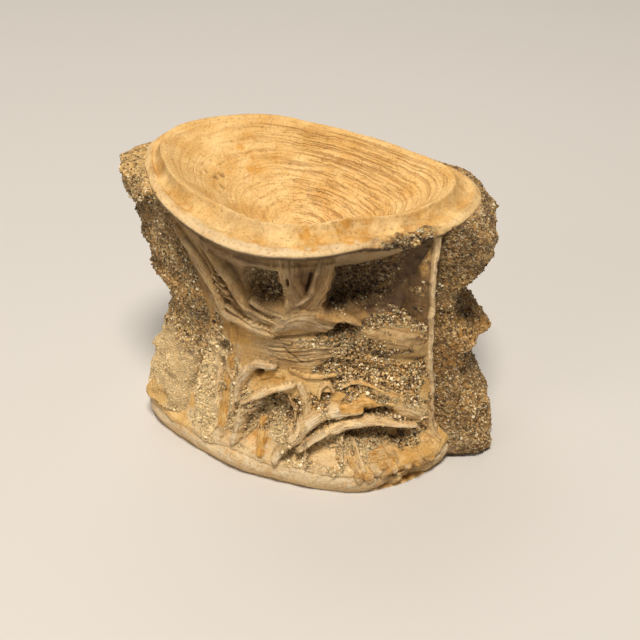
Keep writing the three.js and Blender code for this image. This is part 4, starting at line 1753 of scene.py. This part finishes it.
@dataclass(frozen=True)
class RockForm:
    """Where a mass of rock lies: bearings, and its radius by height.

    Each spot is a lump or a recess: bearing, reach in degrees, height, reach in mm and how far it stands out.
    """

    back: float
    full_back: float
    full_front: float
    levels: tuple[float, ...]
    radii: tuple[float, ...]
    front_levels: tuple[float, ...]
    front_bearings: tuple[float, ...]
    corner_bearing: float
    corner_z: float
    corner_turn: float
    corner_drop: float
    corner_out: float
    front_share: float
    spots: tuple[tuple[float, float, float, float, float], ...] = ()


LEFT_ROCK = RockForm(
    back=130,
    full_back=156,
    full_front=172,
    levels=(4.3, 7, 10, 12.6, 15, 16.9, 19.5, 21, 24, 27.5, 30, 32, 34.2, 35.7, 37.3),
    radii=(22.4, 21.9, 21.1, 20.0, 19.3, 18.7, 17.9, 18.5, 20.6, 21.7, 22.3, 22.6, 22.9, 23.4, 23.61),
    front_levels=(3, 11, 17, 21, 24, 28, 31, 34, 37),
    front_bearings=(205, 209, 213, 214, 210, 202, 195, 192, 198),
    corner_bearing=164,
    corner_z=38.5,
    corner_turn=15,
    corner_drop=6,
    corner_out=2.6,
    front_share=0.5,
)
RIGHT_ROCK = RockForm(
    back=62,
    full_back=12,
    full_front=-21.5,
    levels=(0.8, 2.8, 4.0, 5.4, 7.4, 10, 13.4, 15.8, 16.8, 18.3, 21.9, 24, 26.1, 28.7, 31, 32.6, 33.8),
    radii=(
        *(27.06, 26.8, 26.0, 25.6, 24.6, 23.4, 22.4, 22.8, 23.9),
        *(22.3, 20.8, 21.1, 21.9, 23.4, 24.9, 24.6, 22.9),
    ),
    front_levels=(0, 40),
    front_bearings=(-29.0, -29.0),
    corner_bearing=-19,
    corner_z=0,
    corner_turn=9,
    corner_drop=5,
    corner_out=0.8,
    front_share=0.55,
    spots=(
        (-5, 13, 16.8, 1.7, 1.3),
        (-5, math.inf, 20.6, 2.2, -0.9),
        (-20, 6, 9.0, 2.0, -1.1),
        (-18, 7, 25.0, 4.0, -0.8),
    ),
)


@dataclass
class RockMass:
    """Sandy rock that fills the side of the waist and stands out past both rims."""

    form: BoneForm
    rock: RockForm
    name: str
    node: str
    slot: Slot
    columns: int = 190
    rows: int = 230
    ends: int = 12
    hidden: float = 0.7
    least_bulk: float = 0.6
    box_hair: float = 0.25
    root: tuple[float, float] = (5.0, 19.0)

    def inside(self, b: Array, z: Array) -> Array:
        """Radius of the bone's wall and lips behind the rock.

        Args:
            b: bearings.
            z: heights in mm.

        Returns:
            The radius in mm at each place.
        """
        foot = self.form.wall_foot
        top = self.form.lip(b) - self.form.wall_to_lip
        wall = self.form.envelope(b, np.clip(z, foot, top))
        lower = mix(self.form.lower.radius(b), wall, np.clip(z - 2.9, 0.0, 1.0))
        upper = mix(wall, self.form.upper.radius(b), np.clip((z - top) / 2.1, 0.0, 1.0))
        return np.where(z < foot, lower, np.where(z < top, wall, upper))

    def shape(self, b: Array, z: Array) -> tuple[Array, Array]:
        """Radius of the bone behind and of the rock's outer face, before its relief.

        Args:
            b: bearings.
            z: heights in mm.

        Returns:
            Both radii in mm.
        """
        rock = self.rock
        front = np.interp(z, rock.front_levels, rock.front_bearings)
        from_back = np.clip((b - rock.back) / (rock.full_back - rock.back), 0, 1)
        from_front = np.clip((front - b) / (front - rock.full_front), 0, 1)
        fullness = smooth(from_back) * smooth(from_front**0.8)
        inside = self.inside(b, z)
        bulk = np.maximum(self.least_bulk, np.interp(z, rock.levels, rock.radii) - inside)
        near_corner = np.clip(1.0 - np.abs(b - rock.corner_bearing) / rock.corner_turn, 0.0, 1.0) ** 1.25
        sharp = rock.corner_out * near_corner * hump(z - rock.corner_z, rock.corner_drop)
        return inside, inside - self.hidden + (bulk + self.hidden + sharp) * fullness

    def relief(self, b: Array, z: Array, points: Array) -> Array:
        """How far the rock's own lumps, spikes and recesses stand out.

        Args:
            b: bearings.
            z: heights in mm.
            points: (N, 3) the same places in mm.

        Returns:
            Distances in mm.
        """
        rough = rock_lumps(b, z) + 0.34 * fractal(points, 1.7, 3, 95) + 0.14 * fractal(points, 0.45, 2, 99)
        rough = rough + 0.5 * fractal(points, 5.5, 2, 91) * smooth(np.abs(b - self.rock.full_front) / 14.0)
        for bearing, reach, height, rise, out in self.rock.spots:
            rough = rough + out * hump(b - bearing, reach) * hump(z - height, rise)
        return rough

    def build(self, material: bpy.types.Material) -> bpy.types.Object:
        """Makes the piece.

        Args:
            material: the rock's material.

        Returns:
            The piece.
        """
        piece, column, row = sheet(self.name, self.columns, self.rows)
        rock = self.rock
        up = np.clip((row - self.ends) / (self.rows - 2 * self.ends), 0.0, 1.0)
        z = mix(rock.levels[0], rock.levels[-1], up)
        front = np.interp(z, rock.front_levels, rock.front_bearings)
        share, knee = column / self.columns, rock.front_share
        on_front = mix(front, rock.full_front, share / knee)
        b = np.where(share < knee, on_front, mix(rock.full_front, rock.back, (share - knee) / (1 - knee)))
        inside, r = self.shape(b, z)
        points = self.form.place(b, r, z)
        r = r + self.relief(b, z, points) * smooth((r - inside + self.hidden) / 1.6)
        end = np.clip(1 - np.minimum(row, self.rows - row) / self.ends, 0.0, 1.0)
        r = mix(r, inside - self.hidden, end)
        outside = smooth((r - self.form.upper.radius(b) - 0.4) / 1.6)
        if self.slot is Slot.ROCK_LEFT:
            # A sunken shelf beside the upper lip.
            z = z - 1.8 * outside * smooth((b - 167.0) / 12.0) * smooth((z - 31.0) / 6.0)
        else:
            # The top is drawn up under the lip, and less outside it.
            z = z + (1.7 - 1.1 * outside) * smooth((z - 30.5) / 3.0)
        z = z + np.where(row < self.ends, 1.0, -1.0) * end * (0.5 + 0.3 * lattice_noise(points / 1.3, 103))
        write_points(piece, kept_inside(self.form.place(b, r, z), self.box_hair))
        self.close_back(piece)
        hidden = np.zeros(len(piece.data.vertices) - len(b))
        for tone, values in self.masks(b, z, points).items():
            write_share(piece, tone.value, np.concatenate([values, hidden]))
        tidy_normals(piece)
        settle(piece, self.node, material)
        return piece

    def close_back(self, piece: bpy.types.Object) -> None:
        """Closes the hidden back of the mass with a fan to a point inside the bone.

        Args:
            piece: the mesh object.
        """
        edit(piece)
        bpy.ops.mesh.select_mode(type="EDGE")
        bpy.ops.mesh.select_all(action="DESELECT")
        bpy.ops.mesh.select_non_manifold(extend=False)
        bpy.ops.mesh.extrude_region_move()
        bpy.ops.mesh.merge(type="CENTER")
        bpy.ops.object.mode_set(mode="OBJECT")
        radius, height = self.root
        middle = (self.rock.back + self.rock.front_bearings[0]) / 2
        target = self.form.place(np.array([middle]), radius, np.array([height]))[0]
        piece.data.vertices[len(piece.data.vertices) - 1].co = target * MM

    def masks(self, b: Array, z: Array, points: Array) -> dict[Tone, Array]:
        """What covers the rock, and where shade is painted on it.

        Args:
            b: bearings.
            z: heights in mm.
            points: (N, 3) the same places in mm, before the relief.

        Returns:
            The share of each tone.
        """
        warp = fractal(points, 1.8, 3, 107)
        sand = np.ones(len(b))
        white = 0.25 * smooth(fractal(points, 4.0, 3, 109) + 0.2)
        ochre = 0.5 * smooth(fractal(points, 3.0, 3, 113) * 1.5)
        dark = 0.12 * smooth(-warp)
        if self.slot is Slot.ROCK_LEFT:
            wedge = smooth(z - 35.6 + 0.5 * warp)
            flat = smooth((16.5 - z + 1.2 * warp) / 2.5) * smooth((206.0 - b) / 6.0)
            flat = flat * smooth((b - 146.0 + 5.0 * warp) / 12.0)
            chip = hump(b - 188.0, 9.0) * hump(z - 5.6, 2.0)
            hollow = hump(b - 205.0, 13.0) * hump(z - 20.5, 4.0)
            sand = sand - 0.62 * wedge - 0.45 * flat - 0.9 * chip
            white = white + 0.85 * flat
            # Painted shade in the hollow and on the upper part under the wedge's top.
            dark = dark + 0.5 * hollow + 0.36 * smooth((z - 24.0) / 3.0) * (1 - wedge)
        else:
            middle = smooth((z - 11.0) / 3.0) * smooth((26.0 - z) / 3.0)
            ochre = ochre + 0.6 * middle * smooth(warp + 0.4)
            white = white * (1 - middle)
            # Painted shade on the top below the lip; the next line makes the side face at the front edge
            # darker.
            dark = dark + (0.14 + 0.3 * smooth(warp + 0.3)) * smooth((z - 26.0) / 3.0)
            dark = np.clip(dark, 0, 1) + 0.4 * smooth((-20.0 - b + 1.5 * warp) / 5.0)
        return {Tone.SAND: sand, Tone.WHITE: white, Tone.OCHRE: ochre, Tone.DARK: dark}


@dataclass
class SandCover:
    """Loose and half sunk sand grains on the sandy parts of a surface; sizes are in mm."""

    name: str
    count: int
    seed: int
    median: float = 0.115
    spread: float = 0.3
    largest: float = 0.24
    lift: float = 0.25
    least_sand: float = 0.25
    largest_face: float = 2.0
    box_hair: float = 0.34

    def build(self, host: bpy.types.Object, slot: Slot, material: bpy.types.Material) -> bpy.types.Object:
        """Makes the grains on a host surface.

        Args:
            host: the surface, whose "sand" attribute says where grains lie.
            slot: not used.
            material: the grains' material.

        Returns:
            One piece that holds all the grains.
        """
        rng = np.random.default_rng(self.seed)
        centres, normals, shares = self.scatter(host, rng)
        fresh()
        bpy.ops.mesh.primitive_ico_sphere_add(subdivisions=1, radius=1.0)
        piece = bpy.context.object
        piece.name = self.name
        corners = read_points(piece)
        rows = piece.modifiers.new("array", "ARRAY")
        rows.count = self.count
        rows.relative_offset_displace = (1.5, 0.0, 0.0)
        bpy.ops.object.modifier_apply(modifier=rows.name)
        size = np.minimum(self.median * np.exp(rng.normal(0, self.spread, self.count)), self.largest)
        stretch = rng.uniform(0.7, 1.25, (self.count, 1, 3))
        jitter = rng.uniform(0.82, 1.12, (self.count, len(corners), 1))
        shapes = np.einsum("nij,nkj->nki", self.turns(rng), corners[None] * stretch * jitter)
        middle = kept_inside(centres + normals * (size * self.lift)[:, None], self.box_hair)
        grains = middle[:, None, :] + shapes * size[:, None, None]
        write_points(piece, grains.reshape(-1, 3))
        write_share(piece, "tone", np.repeat(rng.uniform(0, 1, self.count), len(corners)))
        for tone, values in shares.items():
            write_share(piece, tone.value, np.repeat(values, len(corners)))
        settle(piece, None, material)
        return piece

    def scatter(
        self, host: bpy.types.Object, rng: np.random.Generator
    ) -> tuple[Array, Array, dict[Tone, Array]]:
        """Random places on the host, denser where its sand attribute is higher.

        Args:
            host: the surface.
            rng: picks the places.

        Returns:
            The places in mm, the surface's normals there, and its dark and white shares there.
        """
        host.data.calc_loop_triangles()
        corners = np.zeros(len(host.data.loop_triangles) * 3, np.int32)
        host.data.loop_triangles.foreach_get("vertices", corners)
        corners = corners.reshape(-1, 3)
        p = read_points(host) / MM
        a, b, c = (p[corners[:, k]] for k in range(3))
        cross = np.cross(b - a, c - a)
        area = np.linalg.norm(cross, axis=1)
        sand = read_share(host, Tone.SAND)[corners].mean(axis=1)
        weight = area * np.clip(sand - self.least_sand, 0, 1) * (area < self.largest_face)
        chosen = rng.choice(len(weight), self.count, p=weight / weight.sum())
        u, v = rng.uniform(0, 1, (2, self.count))
        over = u + v > 1
        u, v = np.where(over, 1 - u, u), np.where(over, 1 - v, v)
        centres = a[chosen] + (b - a)[chosen] * u[:, None] + (c - a)[chosen] * v[:, None]
        # The grains take over the host's painted shade and its white.
        tones = (Tone.DARK, Tone.WHITE)
        shares = {tone: read_share(host, tone)[corners[chosen]].mean(axis=1) for tone in tones}
        return centres, cross[chosen] / area[chosen][:, None], shares

    def turns(self, rng: np.random.Generator) -> Array:
        """Random turns, one for each grain.

        Args:
            rng: picks them.

        Returns:
            (N, 3, 3) rotation matrices.
        """
        q = rng.normal(0, 1, (self.count, 4))
        w, x, y, z = (q / np.linalg.norm(q, axis=1)[:, None]).T
        rows = [
            [1 - 2 * (y * y + z * z), 2 * (x * y - z * w), 2 * (x * z + y * w)],
            [2 * (x * y + z * w), 1 - 2 * (x * x + z * z), 2 * (y * z - x * w)],
            [2 * (x * z - y * w), 2 * (y * z + x * w), 1 - 2 * (x * x + y * y)],
        ]
        return np.moveaxis(np.array(rows), 2, 0)


@dataclass(frozen=True)
class Lamp:
    """A round soft light: its name, its place and width in metres, its power and its colour."""

    name: str
    place: tuple[float, float, float]
    width: float
    watts: float
    code: str


@dataclass(frozen=True)
class Studio:
    """Floor, lights and the photo's camera; target and distance are in mm."""

    target: tuple[float, float, float] = (1.241, -1.445, 17.0)
    distance: float = 158.3
    elevation: float = 35.0
    lens: float = 65.0
    sensor: float = 36.0
    floor: float = 6.0
    air: str = "e6e8ee"
    air_strength: float = 0.12
    lamps: tuple[Lamp, ...] = (
        Lamp("key_light", (0.0, -0.22, 0.58), 0.17, 4.1, "fff6ea"),
        Lamp("back_fill", (-0.10, 0.35, 0.45), 0.50, 0.9, "fff8f0"),
        Lamp("left_fill", (-0.38, -0.30, 0.22), 0.30, 0.55, "fff4e4"),
    )

    def build(self) -> None:
        """Makes the stage."""
        fresh()
        bpy.ops.mesh.primitive_plane_add(size=self.floor)
        floor = bpy.context.object
        floor.name = "floor"
        floor.data.materials.append(StudioPaper().build("studio_paper"))
        for lamp in self.lamps:
            self.light(lamp)
        scene = bpy.context.scene
        scene.world = scene.world or bpy.data.worlds.new("world")
        scene.world.use_nodes = True
        back = scene.world.node_tree.nodes["Background"]
        back.inputs[0].default_value = linear(self.air)
        back.inputs[1].default_value = self.air_strength
        rise = math.radians(self.elevation)
        x, y, z = (c * MM for c in self.target)
        away = self.distance * MM
        camera = bpy.data.objects.new("camera", bpy.data.cameras.new("camera"))
        scene.collection.objects.link(camera)
        camera.data.lens = self.lens
        camera.data.sensor_width = self.sensor
        camera.data.clip_start = 0.01
        camera.location = (x, y - away * math.cos(rise), z + away * math.sin(rise))
        camera.rotation_euler = (math.pi / 2 - rise, 0.0, 0.0)
        scene.camera = camera
        scene.view_settings.view_transform = "Standard"

    def light(self, lamp: Lamp) -> None:
        """Adds a lamp that points at the object.

        Args:
            lamp: the lamp.
        """
        data = bpy.data.lights.new(lamp.name, "AREA")
        data.shape = "DISK"
        data.size = lamp.width
        data.energy = lamp.watts
        data.color = linear(lamp.code)[:3]
        made = bpy.data.objects.new(lamp.name, data)
        bpy.context.scene.collection.objects.link(made)
        made.location = lamp.place
        x, y, z = (a - b * MM for a, b in zip(lamp.place, self.target))
        made.rotation_euler = (math.atan2(math.hypot(x, y), z), 0.0, math.atan2(x, -y))


def main() -> None:
    """Builds the vertebra piece by piece, then the studio."""
    form = BoneForm()
    finish = FossilBone()
    bone = finish.build("fossil_bone")
    grains = PhosphateSand().build("phosphate_sand")
    UpperFace(form).build(bone)
    wall = Wall(form, FRONT_WALL).build(bone)
    LowerFace(form).build(bone)
    Splinters(form).build(bone)
    levels, radii = FRONT_WALL.plate_levels, FRONT_WALL.plate_radii
    Lamella(form, "centrum_plate", FRONT_WALL.plate_bearing, levels, radii, thick=0.9).build(bone)
    inner = tuple(r - SECOND_PLATE_INSET for r in radii)
    second = Lamella(form, "centrum_second_plate", SECOND_PLATE_BEARING, levels, inner, thick=0.7, rows=180)
    second.build(bone)
    left = RockMass(form, LEFT_ROCK, "rock_left_mass", "rock_left", Slot.ROCK_LEFT)
    left_mass = left.build(SandyRock(finish, "bf9d68").build("grey_sandy_rock"))
    right = RockMass(form, RIGHT_ROCK, "rock_right_mass", "rock_right", Slot.ROCK_RIGHT)
    right_mass = right.build(SandyRock(finish, "d2a05a").build("brown_sandy_rock"))
    SandCover("centrum_sand", 9500, seed=21).build(wall, Slot.BONE, grains)
    SandCover("centrum_coarse_sand", 3500, seed=24, median=0.17, largest=0.3).build(wall, Slot.BONE, grains)
    SandCover("rock_left_sand", 8500, seed=22).build(left_mass, Slot.ROCK_LEFT, grains)
    SandCover("rock_right_sand", 9500, seed=23).build(right_mass, Slot.ROCK_RIGHT, grains)
    Studio().build()


if __name__ == "__main__":
    logging.basicConfig(level=logging.INFO, format="%(relativeCreated)d ms %(message)s")
    main()
